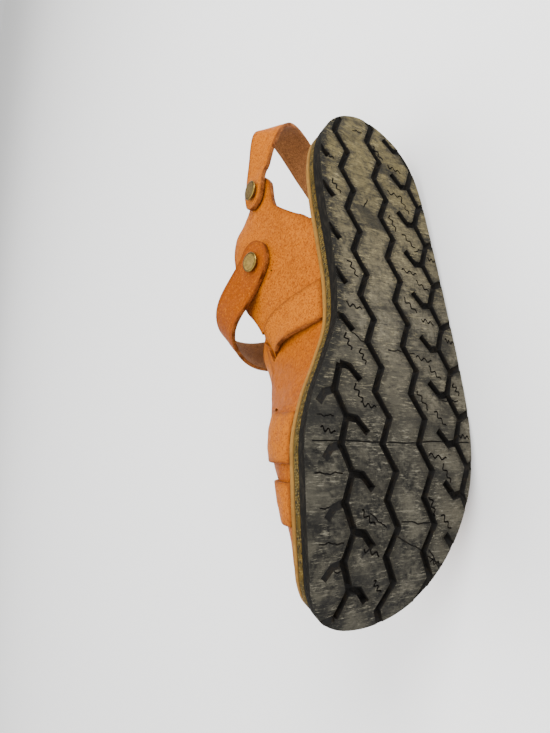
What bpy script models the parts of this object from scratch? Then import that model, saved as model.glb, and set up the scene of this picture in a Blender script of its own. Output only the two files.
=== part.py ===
"""Fisherman sandal for the right foot, lying on its outer side.

The sandal is laid out standing: x runs to the outer side, s along the sole from the back of the
heel to the toe, h up from the tread.  `bend` wraps that flat layout over the toe spring, and
`lay_down` turns the finished sandal onto its outer side.  Sizes and tables are in millimetres.
"""
import math

import bmesh
import bpy
import numpy as np
from mathutils import Matrix, Vector

MM = 0.001
GAP = 0.3                      # between two neighbouring pieces
SLACK = 0.1                    # more of it under a loose strap and under a cap

# sole
RUBBER_HEEL, RUBBER_WAIST, RUBBER_TOE = 7.6, 6.4, 5.8
PLY = 3.4
MIDSOLE = 3.0
INSOLE = 2.6
ON_PLY = GAP + PLY             # heights over the rubber
ON_MIDSOLE = ON_PLY + GAP + MIDSOLE
ON_INSOLE = ON_MIDSOLE + GAP + INSOLE
PLY_INSET, MIDSOLE_INSET = 0.3, 0.2
HEEL_INSET, FORE_INSET, TOE_INSET = 4.5, 6.6, 8.4     # of the insole, inside the wall
BELOW_SOLE = 12.0              # how far the cutter under the upper reaches out and down
RING = 90                      # points around a sole piece
TREAD_DEPTH = 4.0
PITCH = 25.0                   # one zigzag of the tread
GROOVE = 3.4
SPRING_START, SPRING_TURN, SPRING_POWER = 180.0, 0.66, 1.6
HEEL_START, HEEL_TURN = 45.0, 0.14

# upper
WALL = 2.4
STRAP = 2.4
STRAP_LIFT = GAP + SLACK + STRAP / 2   # of the middle of a loose strap over the wall
WOVEN = 2.8                    # a strap that is woven through the wall, with what is let in
WALL_INSET = 2.6               # from the edge of the sole to the outside of the wall
RIDGE_FAN, RIDGE_END = 185.0, 238.0
BELOW_BASE = 40.0              # drop of the wall for one unit of girth past its base

# the outline of the sole, clockwise from the back of the heel: x, s
OUTLINE = (
    (0, 6.5), (10, 9.3), (18.5, 14.8), (25.5, 21.8), (30.5, 30), (33.8, 41), (36.2, 57),
    (37.5, 78), (38.6, 100), (39.6, 130), (40.2, 158), (39.7, 180), (37.4, 200), (32.8, 220),
    (26.8, 235), (19, 249.5), (10, 262), (-2, 273.8), (-15, 280.4), (-30, 282.8), (-44, 280.4),
    (-55, 273.4), (-60.8, 263), (-63.8, 250), (-65.8, 234), (-66.4, 215), (-65, 195),
    (-58.8, 177), (-48.3, 157), (-39.4, 138), (-36.2, 118), (-36, 90), (-36.5, 62), (-35, 42),
    (-30.5, 27), (-22, 15.5), (-11, 8.6))

# the ribs of the upper: s, height of the ridge, x of the ridge, roundness, how far the wall
# swells out over the sole on the inner and on the outer side, and how high up it does so
RIBS = (
    (10, 98, 0, 2.5, 16, 14, 0.35),
    (22, 100, 0, 2.5, 16, 14, 0.35),
    (31, 101, 0, 2.5, 11.5, 9, 0.4),
    (45, 103, 0, 2.8, 12, 7, 0.9),
    (60, 104, 0, 2.8, 15, 6, 1.3),
    (76, 104, 0, 2.8, 15.5, 6, 1.4),
    (95, 103, 0, 2.8, 12.5, 5.5, 1.2),
    (110, 99.5, -1, 2.8, 9, 4, 1.0),
    (130, 89, -2, 2.6, 6, 3.5, 1.0),
    (150, 78, -4, 2.4, 3.5, 3.8, 1.0),
    (170, 65.5, -8, 2.3, 2, 4.5, 1.0),
    (190, 52.5, -12, 2.3, 1, 4.2, 1.0),
    (210, 42, -15, 2.3, 0, 2.5, 1.0),
    (225, 33, -18, 2.0, 0, 0.5, 1.0),
    (238, 24, -20, 1.7, 0, 0, 1.0))

# the rear and lower edge of a side panel, from the tip of its ear to the sole: s, girth
PANEL_LOW = (
    (19.5, 0.77), (21, 0.79), (24, 0.81), (30.5, 0.838), (39, 0.859), (47, 0.881), (54, 0.918),
    (66, 0.977), (74, 1.0), (76, 1.08), (290, 1.08))
# its upper edge: over the ear, along the ankle, down the throat and along the open vamp
PANEL_TOP = (
    (19.5, 0.75), (22, 0.715), (27, 0.685), (34, 0.664), (39.5, 0.655), (45, 0.60), (50, 0.582),
    (56, 0.575), (68, 0.588), (76, 0.590), (90, 0.582), (100, 0.578), (109, 0.625), (120, 0.640),
    (132, 0.610), (145, 0.600), (165, 0.50), (180, 0.42), (195, 0.32), (205, 0.20), (211, 0.0),
    (290, 0.0))
VAMP_CLOSED = 211.0            # from here on the two panels are one

# the two straps that cross on the instep: s, girth, lift of its outer face over the wall
CROSS_STRAP = (
    (121.5, -1.12, 2.1), (121.5, -1.0, 2.1), (121.7, -0.90, 2.1), (123.3, -0.80, 2.1),
    (126.8, -0.72, 1.9), (128.3, -0.69, 1.0), (129.7, -0.665, -0.7), (131.2, -0.64, -1.7),
    (135.8, -0.55, -1.7), (146, -0.30, -0.6), (157, 0.0, 0.2), (169.5, 0.30, -0.6),
    (179, 0.47, -1.7), (183.8, 0.56, -1.7), (185, 0.585, -0.7), (186.2, 0.612, 1.0),
    (187.4, 0.64, 1.9), (190, 0.74, 2.1), (192.3, 0.86, 2.1), (194.3, 1.0, 2.1),
    (196, 1.12, 2.1))
CROSS_WIDTH = 23.0
CROSS_OVER, CROSS_SPREAD = 2.0, 0.35   # one strap lies on the other, up to this girth
# the strap over the toes
TOE_STRAP = (
    (225, -1.12, 2.1), (225, -1.0, 2.1), (225, -0.85, 2.1), (225, -0.74, 2.1),
    (225, -0.68, 1.4), (225, -0.64, -1.0), (225, -0.59, -1.7), (225, -0.3, -1.7),
    (225, 0.0, -1.7), (225, 0.3, -1.7), (225, 0.59, -1.7), (225, 0.64, -1.0),
    (225, 0.68, 1.4), (225, 0.74, 2.1), (225, 0.85, 2.1), (225, 1.0, 2.1), (225, 1.12, 2.1))
TOE_WIDTH = 18.5
# a slot in the wall: its length along the strap, its play beside it and its cutter's two lifts
SLOT, SLOT_PLAY, SLOT_CUT = 4.0, 1.6, (5.0, -6.0)
SLOT_GIRTH = 0.5               # every slot is lower on the wall than this

# the strap over the instep: on the inner panel s, girth; in the air x, y, z and the way that
# its outer face looks; inside the outer panel s, girth
INSTEP_ON = ((66.5, -0.812), (71, -0.790), (78.8, -0.750))
INSTEP_FREE = (
    (-44.3, 86.6, 76.9, -0.91, 0.00, -0.42),
    (-48.0, 94.0, 83.6, -0.93, -0.05, -0.37),
    (-50.6, 101.2, 90.8, -0.99, 0.06, -0.12),
    (-49.0, 108.2, 98.2, -0.93, 0.29, 0.24),
    (-43.0, 114.1, 104.6, -0.70, 0.50, 0.50),
    (-34.2, 118.0, 109.2, -0.42, 0.57, 0.71),
    (-24.0, 119.8, 111.2, -0.07, 0.51, 0.85),
    (-13.6, 119.8, 109.8, 0.29, 0.38, 0.88),
    (-3.6, 118.4, 105.1, 0.52, 0.25, 0.82),
    (5.5, 116.3, 98.6, 0.66, 0.13, 0.74),
    (14.1, 114.0, 91.5, 0.75, 0.02, 0.66),
    (22.6, 111.0, 84.3, 0.85, 0.00, 0.52))
INSTEP_IN = ((108, 0.72), (105, 0.80))
INSTEP_WIDTH = 24.0
INSTEP_SNAP = (77.5, -0.757)

# the strap behind the heel: on the ears s, girth; in the air as above
HEEL_ON = ((40, 0.735), (34, 0.74), (27.5, 0.745))
HEEL_FREE = (
    (-36.9, 15.8, 61.3, -0.99, -0.09, -0.10),
    (-35.3, 4.6, 58.0, -0.98, -0.10, -0.19),
    (-33.2, -6.5, 55.4, -0.90, -0.22, -0.38),
    (-28.7, -16.6, 54.8, -0.62, -0.58, -0.53),
    (-20.4, -22.3, 57.7, -0.18, -0.95, -0.26),
    (-10.4, -22.2, 62.3, 0.18, -0.98, 0.12),
    (-0.8, -17.7, 66.4, 0.38, -0.83, 0.42),
    (7.7, -10.4, 69.1, 0.50, -0.65, 0.57),
    (15.3, -1.7, 70.4, 0.60, -0.53, 0.59),
    (22.2, 7.7, 70.6, 0.70, -0.49, 0.52),
    (28.8, 17.3, 70.0, 0.80, -0.45, 0.38))
HEEL_SNAP = (29.0, 0.745)
HEEL_WIDTH = 21.5

# snaps: radius and height of the dome
CAP = ((0.0, 2.2), (2.4, 2.1), (4.6, 1.65), (6.1, 0.8), (6.1, 0.0), (0.0, 0.0))
CAP_SIDES = 18
SEEN_FROM = 15.0               # lift from which what lies below is looked for
CLEAR = 0.9                    # of a strap's corners over the wall
MOST_PUSH = 4.0                # a strap that is deeper than this lies inside the wall
ENDS_DENSER = 0.5              # how much closer a strap's rings are near its ends

# the zigzags of the tread: x of the middle, swing, s of the first outward corner, corners
MAIN_ZIGZAGS = ((-19.4, 6.6, 11.5, 23), (3.7, 6.7, 11.5, 23))
OUTER_ZIGZAG = (29.3, 6.0, 10.5, 20)
INNER_ZIGZAG = (-44.0, 5.0, 161.5, 10)
# branches from their corners, as steps in x and s
OUTER_HOOK, OUTER_BRANCH = ((-5.5, 1.0), (-11.5, -6.0)), ((10.0, -4.0),)
INNER_HOOK, INNER_BRANCH = ((5.5, 1.0), (11.0, 7.5)), ((-11.0, 5.0),)

# colour, roughness, metallic and grams per cubic centimetre
RUBBER = ((0.045, 0.043, 0.038), 0.8, 0.0, 1.15)
PLY_SHEET = ((0.13, 0.10, 0.05), 0.8, 0.0, 1.15)
NATURAL = ((0.45, 0.27, 0.10), 0.6, 0.0, 0.9)
LINING = ((0.42, 0.20, 0.08), 0.6, 0.0, 0.9)
TAN = ((0.52, 0.20, 0.055), 0.5, 0.0, 0.9)
BRASS = ((0.55, 0.42, 0.20), 0.3, 1.0, 8.4)


def hermite(knots, values, at, monotone=False):
    """Smooth curve through values at the knots, read at the places in at."""
    knots = np.asarray(knots, float)
    values = np.asarray(values, float)
    at = np.clip(np.asarray(at, float), knots[0], knots[-1])
    slopes = np.gradient(values, knots, axis=0)
    if monotone:
        steps = (np.diff(values, axis=0).T / np.diff(knots)).T
        before, after = steps[:-1], steps[1:]
        agree = before * after > 0
        total = np.where(agree, before + after, 1)
        slopes[1:-1] = np.where(agree, 2 * before * after / total, 0)
    i = np.clip(np.searchsorted(knots, at) - 1, 0, len(knots) - 2)
    span = knots[i + 1] - knots[i]
    t = (at - knots[i]) / span
    if values.ndim > 1:
        t, span = t[..., None], span[..., None]
    return ((1 + 2 * t) * (1 - t) ** 2 * values[i] + t * (1 - t) ** 2 * span * slopes[i]
            + t * t * (3 - 2 * t) * values[i + 1] + t * t * (t - 1) * span * slopes[i + 1])


def column(table, name_index, at):
    """One column of a table whose first column is s."""
    rows = np.array(table, float)
    return hermite(rows[:, 0], rows[:, name_index], at)


def closed_curve(corners, count):
    """Evenly spaced points on a smooth closed curve through the corners."""
    ring = np.array(corners, float)
    ring = np.vstack([ring[-2:], ring, ring[:3]])
    knots = np.concatenate([[0.0], np.cumsum(np.linalg.norm(np.diff(ring, axis=0), axis=1))])
    at = np.linspace(knots[2], knots[-3], count, endpoint=False)
    return hermite(knots, ring, at)


def inset_ring(ring, inset):
    """The ring moved inwards; its points run clockwise."""
    tangent = np.roll(ring, -1, axis=0) - np.roll(ring, 1, axis=0)
    tangent /= np.linalg.norm(tangent, axis=1)[:, None]
    return ring + inset * np.stack([-tangent[:, 1], tangent[:, 0]], axis=1)


def ring_sides(inset):
    """The inner and the outer edge of the inset outline, each from heel to toe."""
    ring = inset_ring(closed_curve(OUTLINE, 360), inset)
    ring = np.roll(ring, -int(ring[:, 1].argmin()), axis=0)
    toe = int(ring[:, 1].argmax())
    return np.vstack([ring[toe:], ring[:1]])[::-1], ring[:toe + 1]


LENGTH = closed_curve(OUTLINE, 360)[:, 1].max()
WALL_INNER, WALL_OUTER = ring_sides(WALL_INSET)
WALL_TOE = WALL_INNER[-1, 1]


def turn(s):
    """Slope of the tread, in radians."""
    heel = -HEEL_TURN * np.clip((HEEL_START - s) / HEEL_START, 0, None)
    toe = np.clip((s - SPRING_START) / (LENGTH - SPRING_START), 0, None)
    return heel + SPRING_TURN * toe ** SPRING_POWER


ARC = np.arange(-30.0, LENGTH + 40, 0.5)
ARC_Y = np.concatenate([[0.0], np.cumsum(np.cos(turn(ARC[:-1] + 0.25)) * 0.5)])
ARC_Z = np.concatenate([[0.0], np.cumsum(np.sin(turn(ARC[:-1] + 0.25)) * 0.5)])
ARC_Y += HEEL_START - np.interp(HEEL_START, ARC, ARC_Y)
ARC_Z -= np.interp(HEEL_START, ARC, ARC_Z)


def bend(flat, heel=True):
    """Wrap the flat layout x, s, h over the toe spring, and over the rounded heel."""
    x, s, h = np.moveaxis(np.asarray(flat, float), -1, 0)
    angle = turn(s)
    y, z = np.interp(s, ARC, ARC_Y), np.interp(s, ARC, ARC_Z)
    if not heel:
        behind = s < HEEL_START
        angle, y, z = np.where(behind, 0, angle), np.where(behind, s, y), np.where(behind, 0, z)
    return np.stack([x, y - h * np.sin(angle), z + h * np.cos(angle)], axis=-1)


def rubber(s):
    """Thickness of the tread rubber."""
    return hermite((0, 60, 125, 190, LENGTH),
                   (RUBBER_HEEL, RUBBER_HEEL, RUBBER_WAIST, RUBBER_TOE, RUBBER_TOE), s)


def sole_top(s):
    """Height of the top of the midsole over the tread."""
    return rubber(s) + ON_MIDSOLE


def upper_at(s, girth, lift=0.0):
    """A point of the upper: girth runs from -1 at the inner base over the ridge to 1."""
    if np.any(lift):
        return upper_at(s, girth) + upper_normal(s, girth) * np.asarray(lift)[..., None]
    s, girth = np.broadcast_arrays(np.asarray(s, float), np.asarray(girth, float))
    inner = girth < 0
    rise = 1 - np.abs(girth)
    angle = np.clip(rise, 0, 1) * math.pi / 2
    past = np.clip(s - RIDGE_FAN, 0, None)
    room = WALL_TOE - RIDGE_FAN
    ridge_s = s - past ** 2 / room ** 2 * (WALL_TOE - RIDGE_END)
    height, ridge_x, roundness = (column(RIBS, k, ridge_s) for k in (1, 2, 3))
    swell = np.where(inner, -column(RIBS, 4, ridge_s), column(RIBS, 5, ridge_s))
    base_x = np.where(inner, np.interp(s, WALL_INNER[:, 1], WALL_INNER[:, 0]),
                      np.interp(s, WALL_OUTER[:, 1], WALL_OUTER[:, 0]))
    inwards = 1 - np.cos(angle) ** (2 / roundness)
    bulge = np.clip(np.sin(2 * angle), 0, None) ** column(RIBS, 6, ridge_s)
    x = base_x + (ridge_x - base_x) * inwards + swell * bulge
    along = s + (ridge_s - s) * inwards
    h = sole_top(along) + GAP + height * np.sin(angle) ** (2 / roundness)
    h = h + np.minimum(rise, 0) * BELOW_BASE
    return bend(np.stack([x, along, h], axis=-1), heel=False)


def upper_normal(s, girth):
    """Outward normal of the upper."""
    s, girth = np.asarray(s, float), np.asarray(girth, float)
    along = upper_at(s + 0.5, girth) - upper_at(s - 0.5, girth)
    across = upper_at(s, girth + 0.005) - upper_at(s, girth - 0.005)
    normal = np.cross(across, along)
    return normal / np.linalg.norm(normal, axis=-1, keepdims=True)


def fresh_scene():
    for item in list(bpy.data.objects):
        bpy.data.objects.remove(item, do_unlink=True)


def own_collection(name):
    group = bpy.data.collections.new(name)
    bpy.context.scene.collection.children.link(group)
    return group


def new_object(name, points, faces, group):
    """A mesh object from points in millimetres."""
    mesh = bpy.data.meshes.new(name)
    mesh.from_pydata([tuple(p) for p in np.asarray(points) * MM], [], faces)
    mesh.update()
    item = bpy.data.objects.new(name, mesh)
    group.objects.link(item)
    return item


def face_outwards(mesh, merged=0.0):
    """Merge points closer than the given millimetres and turn all faces outwards."""
    bm = bmesh.new()
    bm.from_mesh(mesh)
    if merged:
        bmesh.ops.remove_doubles(bm, verts=bm.verts, dist=merged * MM)
    bmesh.ops.recalc_face_normals(bm, faces=bm.faces)
    bm.to_mesh(mesh)
    bm.free()


def settle(item):
    """Make an object's evaluated mesh its own, without modifiers."""
    graph = bpy.context.evaluated_depsgraph_get()
    mesh = bpy.data.meshes.new_from_object(item.evaluated_get(graph))
    item.modifiers.clear()
    item.data = mesh
    return item


def flat_faced(item):
    """Split all faces into triangles, so that none is warped."""
    bm = bmesh.new()
    bm.from_mesh(item.data)
    bmesh.ops.triangulate(bm, faces=bm.faces)
    bm.to_mesh(item.data)
    bm.free()
    return item


def combine(item, other, operation, overlapping=False):
    """Join, or cut with, another solid, which is used up."""
    flat_faced(item)
    flat_faced(other)
    boolean = item.modifiers.new(operation.lower(), "BOOLEAN")
    boolean.operation = operation
    boolean.object = other
    boolean.use_self = overlapping
    settle(item)
    bpy.data.objects.remove(other, do_unlink=True)
    return item


def reshape(item, function, slices=()):
    """Cut the mesh across at the slices of s, then move its points by a function."""
    bm = bmesh.new()
    bm.from_mesh(item.data)
    bmesh.ops.dissolve_limit(bm, angle_limit=0.01, verts=bm.verts, edges=bm.edges)
    for s in slices:
        bmesh.ops.bisect_plane(bm, geom=bm.verts[:] + bm.edges[:] + bm.faces[:],
                               plane_co=(0, s * MM, 0), plane_no=(0, 1, 0), dist=1e-6)
    bmesh.ops.triangulate(bm, faces=bm.faces)
    places = np.array([v.co for v in bm.verts]) / MM
    for vertex, place in zip(bm.verts, function(places) * MM):
        vertex.co = place
    bm.to_mesh(item.data)
    bm.free()
    item.data.update()
    return item


def outline_slab(name, ring, low, high, group):
    """A flat slab with the outline of the ring, between two heights."""
    curve = bpy.data.curves.new(name, "CURVE")
    curve.dimensions = "2D"
    curve.fill_mode = "BOTH"
    curve.extrude = (high - low) / 2 * MM
    line = curve.splines.new("POLY")
    line.points.add(len(ring) - 1)
    for point, (x, s) in zip(line.points, ring * MM):
        point.co = (x, s, 0, 1)
    line.use_cyclic_u = True
    flat = bpy.data.objects.new(name, curve)
    group.objects.link(flat)
    graph = bpy.context.evaluated_depsgraph_get()
    mesh = bpy.data.meshes.new_from_object(flat.evaluated_get(graph))
    bpy.data.objects.remove(flat, do_unlink=True)
    face_outwards(mesh, 0.001)
    mesh.transform(Matrix.Translation((0, 0, (high + low) / 2 * MM)))
    item = bpy.data.objects.new(name, mesh)
    group.objects.link(item)
    return item


def groove(path, width, low, high):
    """Points and faces of a prism that follows a path of x, s corners with mitred bends."""
    path = np.asarray(path, float)
    along = np.diff(path, axis=0)
    along /= np.linalg.norm(along, axis=1)[:, None]
    sides = np.stack([-along[:, 1], along[:, 0]], axis=1)
    mitre = np.vstack([sides[:1], (sides[1:] + sides[:-1]), sides[-1:]])
    scale = np.concatenate([[1.0], 2 / (mitre[1:-1] ** 2).sum(axis=1), [1.0]])
    mitre *= scale[:, None] * width / 2
    rows = [np.stack([np.append(p + m, high), np.append(p - m, high),
                      np.append(p - m, low), np.append(p + m, low)])
            for p, m in zip(path, mitre)]
    return loft_faces(rows)


def loft_faces(rows):
    """Points and faces of a solid through rings of equal count, with flat ends."""
    count = len(rows[0])
    points = np.vstack(rows)
    faces = [[k * count + i, k * count + (i + 1) % count,
              (k + 1) * count + (i + 1) % count, (k + 1) * count + i]
             for k in range(len(rows) - 1) for i in range(count)]
    faces.append(list(range(count))[::-1])
    faces.append([(len(rows) - 1) * count + i for i in range(count)])
    return points, faces


def loft(name, rows, group):
    item = new_object(name, *loft_faces(rows), group)
    face_outwards(item.data)
    return item


def tread_grooves(group):
    """All grooves of the tread as one cutter."""
    points, faces = [], []

    def add(path):
        more, ring = groove(path, GROOVE, -1.0, TREAD_DEPTH)
        start = sum(len(p) for p in points)
        points.append(more)
        faces.extend([[start + i for i in f] for f in ring])

    def zigzag(middle, swing, first, corners):
        return [(middle + swing / 2 * (-1) ** k, first + PITCH / 2 * k) for k in range(corners)]

    def branches(corners, steps):
        for x, s in corners:
            add([(x, s)] + [(x + dx, s + ds) for dx, ds in steps])

    for row in MAIN_ZIGZAGS:
        add(zigzag(*row))
    outer, inner = zigzag(*OUTER_ZIGZAG), zigzag(*INNER_ZIGZAG)
    add(outer)
    add(inner)
    branches(outer[1::2], OUTER_HOOK)
    branches(outer[2::2], OUTER_BRANCH)
    branches(inner[0::2], INNER_HOOK)
    branches(inner[1::2], INNER_BRANCH)
    slits = [(inner[0][0], inner[0][1] - PITCH * k) for k in range(1, 6)]
    branches(slits, INNER_HOOK)
    cutter = new_object("grooves", np.vstack(points), faces, group)
    face_outwards(cutter.data)
    return cutter


def slices():
    """Where a sole piece is cut across so that it bends smoothly."""
    return [float(s) for s in (15, 30, HEEL_START, 60, 95, 130, 160,
                               *np.arange(SPRING_START, LENGTH, 11.0))]


def make_outsole(group):
    sole = outline_slab("outsole", closed_curve(OUTLINE, RING), 0.0, RUBBER_HEEL, group)
    combine(sole, tread_grooves(group), "DIFFERENCE", overlapping=True)

    def thin_and_bend(flat):
        upper = flat[:, 2] > TREAD_DEPTH + 0.5
        flat[:, 2] += np.where(upper, rubber(flat[:, 1]) - RUBBER_HEEL, 0)
        return bend(flat)

    return reshape(sole, thin_and_bend, slices())


def make_layer(name, ring, low, high, group):
    """A layer that lies a given height over the rubber."""
    layer = outline_slab(name, ring, low, high, group)

    def lift_and_bend(flat):
        flat[:, 2] += rubber(flat[:, 1])
        return bend(flat)

    return reshape(layer, lift_and_bend, slices())


def insole_ring():
    """The insole fills the sole at the open heel and the inside of the wall farther on."""
    ring = closed_curve(OUTLINE, RING)
    inset = hermite((0, 52, 66, 235, 262, LENGTH),
                    (HEEL_INSET, HEEL_INSET, FORE_INSET, FORE_INSET, TOE_INSET, TOE_INSET + 2),
                    ring[:, 1])
    return inset_ring(ring, inset[:, None])


def strip_rows(path, width, across=3):
    """Rings of a strap that lies on the upper: path rows are s, girth, outer and inner lift."""
    path = np.asarray(path, float)
    s, girth = path[:, 0], path[:, 1]
    by_s = upper_at(s + 0.5, girth) - upper_at(s - 0.5, girth)
    by_girth = (upper_at(s, girth + 0.005) - upper_at(s, girth - 0.005)) * 100
    ahead = by_s * np.gradient(s)[:, None] + by_girth * np.gradient(girth)[:, None]
    side = np.cross(upper_normal(s, girth), ahead)
    side /= np.linalg.norm(side, axis=1)[:, None]
    rings = []
    for k in range(len(path)):
        basis = np.stack([by_s[k], by_girth[k]], axis=1)
        step, *_ = np.linalg.lstsq(basis, side[k] * width / 2, rcond=None)
        spread = np.linspace(-1, 1, across + 1)
        ring_s, ring_girth = s[k] + step[0] * spread, girth[k] + step[1] * spread
        outer = upper_at(ring_s, ring_girth, np.full(across + 1, path[k, 2]))
        inner = upper_at(ring_s, ring_girth, np.full(across + 1, path[k, 3]))
        rings.append(np.vstack([outer, inner[::-1]]))
    return rings


def strap_path(table, count, mirrored=False, over=0.0):
    """The rows of a strap's table, smoothed and evenly spaced."""
    rows = np.array(table, float)
    places = upper_at(rows[:, 0], rows[:, 1])
    knots = np.concatenate([[0.0], np.cumsum(np.linalg.norm(np.diff(places, axis=0), axis=1))])
    path = hermite(knots, rows, np.linspace(0, knots[-1], count), monotone=True)
    path[:, 2] += over * np.clip(1 - (path[:, 1] / CROSS_SPREAD) ** 2, 0, None)
    if mirrored:
        path[:, 1] *= -1
    return np.column_stack([path, path[:, 2] - WOVEN])


def slot_paths(path):
    """Short stretches of a strap's path where it goes through the wall."""
    found = []
    for here, ahead in zip(path[:-1], path[1:]):
        if here[2] * ahead[2] < 0 and abs(here[1]) > SLOT_GIRTH:
            middle = here + here[2] / (here[2] - ahead[2]) * (ahead - here)
            places = upper_at(np.array([here[0], ahead[0]]), np.array([here[1], ahead[1]]))
            reach = (ahead - here) / np.linalg.norm(places[1] - places[0]) * SLOT / 2
            stretch = np.array([middle - reach, middle, middle + reach])
            stretch[:, 2:] = SLOT_CUT
            found.append(stretch)
    return found


def make_shell(group):
    """The two side panels and the closed toe as one sheet, with its thickness inwards."""
    stations = np.concatenate([[19.5, 21, 24, 28, 33, 38, 42, 46, 50, 56, 63, 69, 74, 76.01],
                               np.arange(85, VAMP_CLOSED - 3, 9.0), [VAMP_CLOSED],
                               VAMP_CLOSED + (WALL_TOE - VAMP_CLOSED)
                               * (1 - (1 - np.linspace(0, 1, 10)[1:]) ** 1.6)])
    low = np.interp(stations, *np.array(PANEL_LOW).T)
    top = hermite(*np.array(PANEL_TOP).T, stations)
    top[stations >= VAMP_CLOSED] = 0.0
    rows = np.linspace(0, 1, 9)
    points, faces = [], []
    for side in (-1, 1):
        start = len(points)
        girth = low[:, None] + (top - low)[:, None] * rows[None, :]
        sheet = upper_at(np.repeat(stations[:, None], len(rows), axis=1), side * girth)
        points.extend(sheet.reshape(-1, 3))
        for k in range(len(stations) - 1):
            for i in range(len(rows) - 1):
                a = start + k * len(rows) + i
                face = [a, a + len(rows), a + len(rows) + 1, a + 1]
                faces.append(face if side < 0 else face[::-1])
    shell = new_object("upper", points, faces, group)
    face_outwards(shell.data, 0.02)
    wall = shell.modifiers.new("wall", "SOLIDIFY")
    wall.thickness = WALL * MM
    wall.offset = -1
    wall.use_even_offset = True
    wall.use_quality_normals = True
    return settle(shell)


def make_upper(group):
    shell = make_shell(group)
    paths = [(strap_path(CROSS_STRAP, 32), CROSS_WIDTH),
             (strap_path(CROSS_STRAP, 32, mirrored=True, over=CROSS_OVER), CROSS_WIDTH),
             (strap_path(TOE_STRAP, 26), TOE_WIDTH)]
    for path, width in paths:
        for cut in slot_paths(path):
            slot = loft("slot", strip_rows(cut, width + SLOT_PLAY), group)
            combine(shell, slot, "DIFFERENCE")
    for path, width in paths:
        combine(shell, loft("strap", strip_rows(path, width), group), "UNION")
    ring = inset_ring(closed_curve(OUTLINE, RING), -BELOW_SOLE)
    below = make_layer("below", ring, -BELOW_SOLE, ON_MIDSOLE + GAP, group)
    return combine(shell, below, "DIFFERENCE")


def push_off(wall, place, out):
    """How far a point under a strap has to move along out to clear the wall."""
    start = place + out * SEEN_FROM
    hit, found, _, _ = wall.ray_cast(Vector(start * MM), Vector(-out),
                                     distance=(SEEN_FROM + CLEAR) * MM)
    push = CLEAR - np.dot(place - np.array(found) / MM, out) if hit else 0.0
    return push if push < MOST_PUSH else 0.0


def ribbon(name, centres, normals, width, count, group, wall=None, across=4):
    """A strap with round ends through the centres, its outer face along the normals.

    Where it would run into a wall it is bent up off it.
    """
    knots = np.concatenate([[0.0], np.cumsum(np.linalg.norm(np.diff(centres, axis=0), axis=1))])
    reach, radius = knots[-1], width / 2
    ends = radius * (1 - np.cos(np.linspace(0.25, math.pi / 2, 5)))
    part = np.linspace(0, 1, count)[1:-1]
    part -= ENDS_DENSER * np.sin(math.tau * part) / math.tau
    at = np.concatenate([ends, radius + part * (reach - 2 * radius), reach - ends[::-1]])
    middle = hermite(knots, centres, at)
    out = hermite(knots, normals, at)
    ahead = np.gradient(middle, at, axis=0)
    side = np.cross(out, ahead)
    side /= np.linalg.norm(side, axis=1)[:, None]
    out = np.cross(ahead, side)
    out /= np.linalg.norm(out, axis=1)[:, None]
    edge = np.clip(np.minimum(at, reach - at), 0, radius)
    half = np.sqrt(radius ** 2 - (radius - edge) ** 2)
    spread = np.linspace(-1, 1, across + 1)
    out = out[:, None]
    below = middle[:, None] + (side * half[:, None])[:, None] * spread[:, None] - out * STRAP / 2
    if wall:
        push = np.array([[push_off(wall, place, up[0]) for place in line]
                         for line, up in zip(below, out)])
        around = np.pad(push, 1, mode="edge")
        push = np.max([around[i:i + len(at), j:j + across + 1]
                       for i in range(3) for j in range(3)], axis=0)
        below += push[..., None] * out
    rings = [np.vstack([line + up * STRAP, line[::-1]]) for line, up in zip(below, out)]
    return loft(name, rings, group)


def on_upper(rows, lift, side=1):
    """Centres and normals of a loose strap where it lies on the upper."""
    rows = np.array(rows, float)
    s, girth = rows[:, 0], side * rows[:, 1]
    return (upper_at(s, girth, np.full(len(s), lift)), upper_normal(s, girth))


def make_instep_strap(upper, group):
    outside, out_normals = on_upper(INSTEP_ON, STRAP_LIFT)
    inside, in_normals = on_upper(INSTEP_IN, -WALL - STRAP_LIFT - SLACK)
    free = np.array(INSTEP_FREE, float)
    return ribbon("instep_strap", np.vstack([outside, free[:, :3], inside]),
                  np.vstack([out_normals, free[:, 3:], in_normals]), INSTEP_WIDTH, 22,
                  group, upper)


def make_heel_strap(upper, group):
    inner, inner_normals = on_upper(HEEL_ON, STRAP_LIFT, -1)
    outer, outer_normals = on_upper(HEEL_ON[::-1], STRAP_LIFT, 1)
    free = np.array(HEEL_FREE, float)
    return ribbon("heel_strap", np.vstack([inner, free[:, :3], outer]),
                  np.vstack([inner_normals, free[:, 3:], outer_normals]), HEEL_WIDTH, 28,
                  group, upper, across=6)


def seat_on(strap, s, girth, radius):
    """Place and normal of a disc that touches a strap's outer face over a point of the upper."""
    point = np.array([s]), np.array([girth])
    centre = Vector(upper_at(*point, np.array([SEEN_FROM]))[0] * MM)
    down = Vector(-upper_normal(*point)[0])
    aside = down.orthogonal().normalized() * radius * MM

    def around(part):
        starts = [centre + Matrix.Rotation(k * math.tau / 16, 3, down) @ (aside * part)
                  for k in range(16)]
        return [strap.ray_cast(start, down)[1] for start in starts]

    rim = around(1.0)
    normal = (rim[0] - rim[8]).cross(rim[4] - rim[12]).normalized()
    normal *= -1 if normal.dot(down) > 0 else 1
    middle = sum(rim, Vector()) / len(rim)
    height = max((hit - middle).dot(normal) for hit in rim + around(0.5) + around(0.0))
    return middle + normal * height, normal


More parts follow.
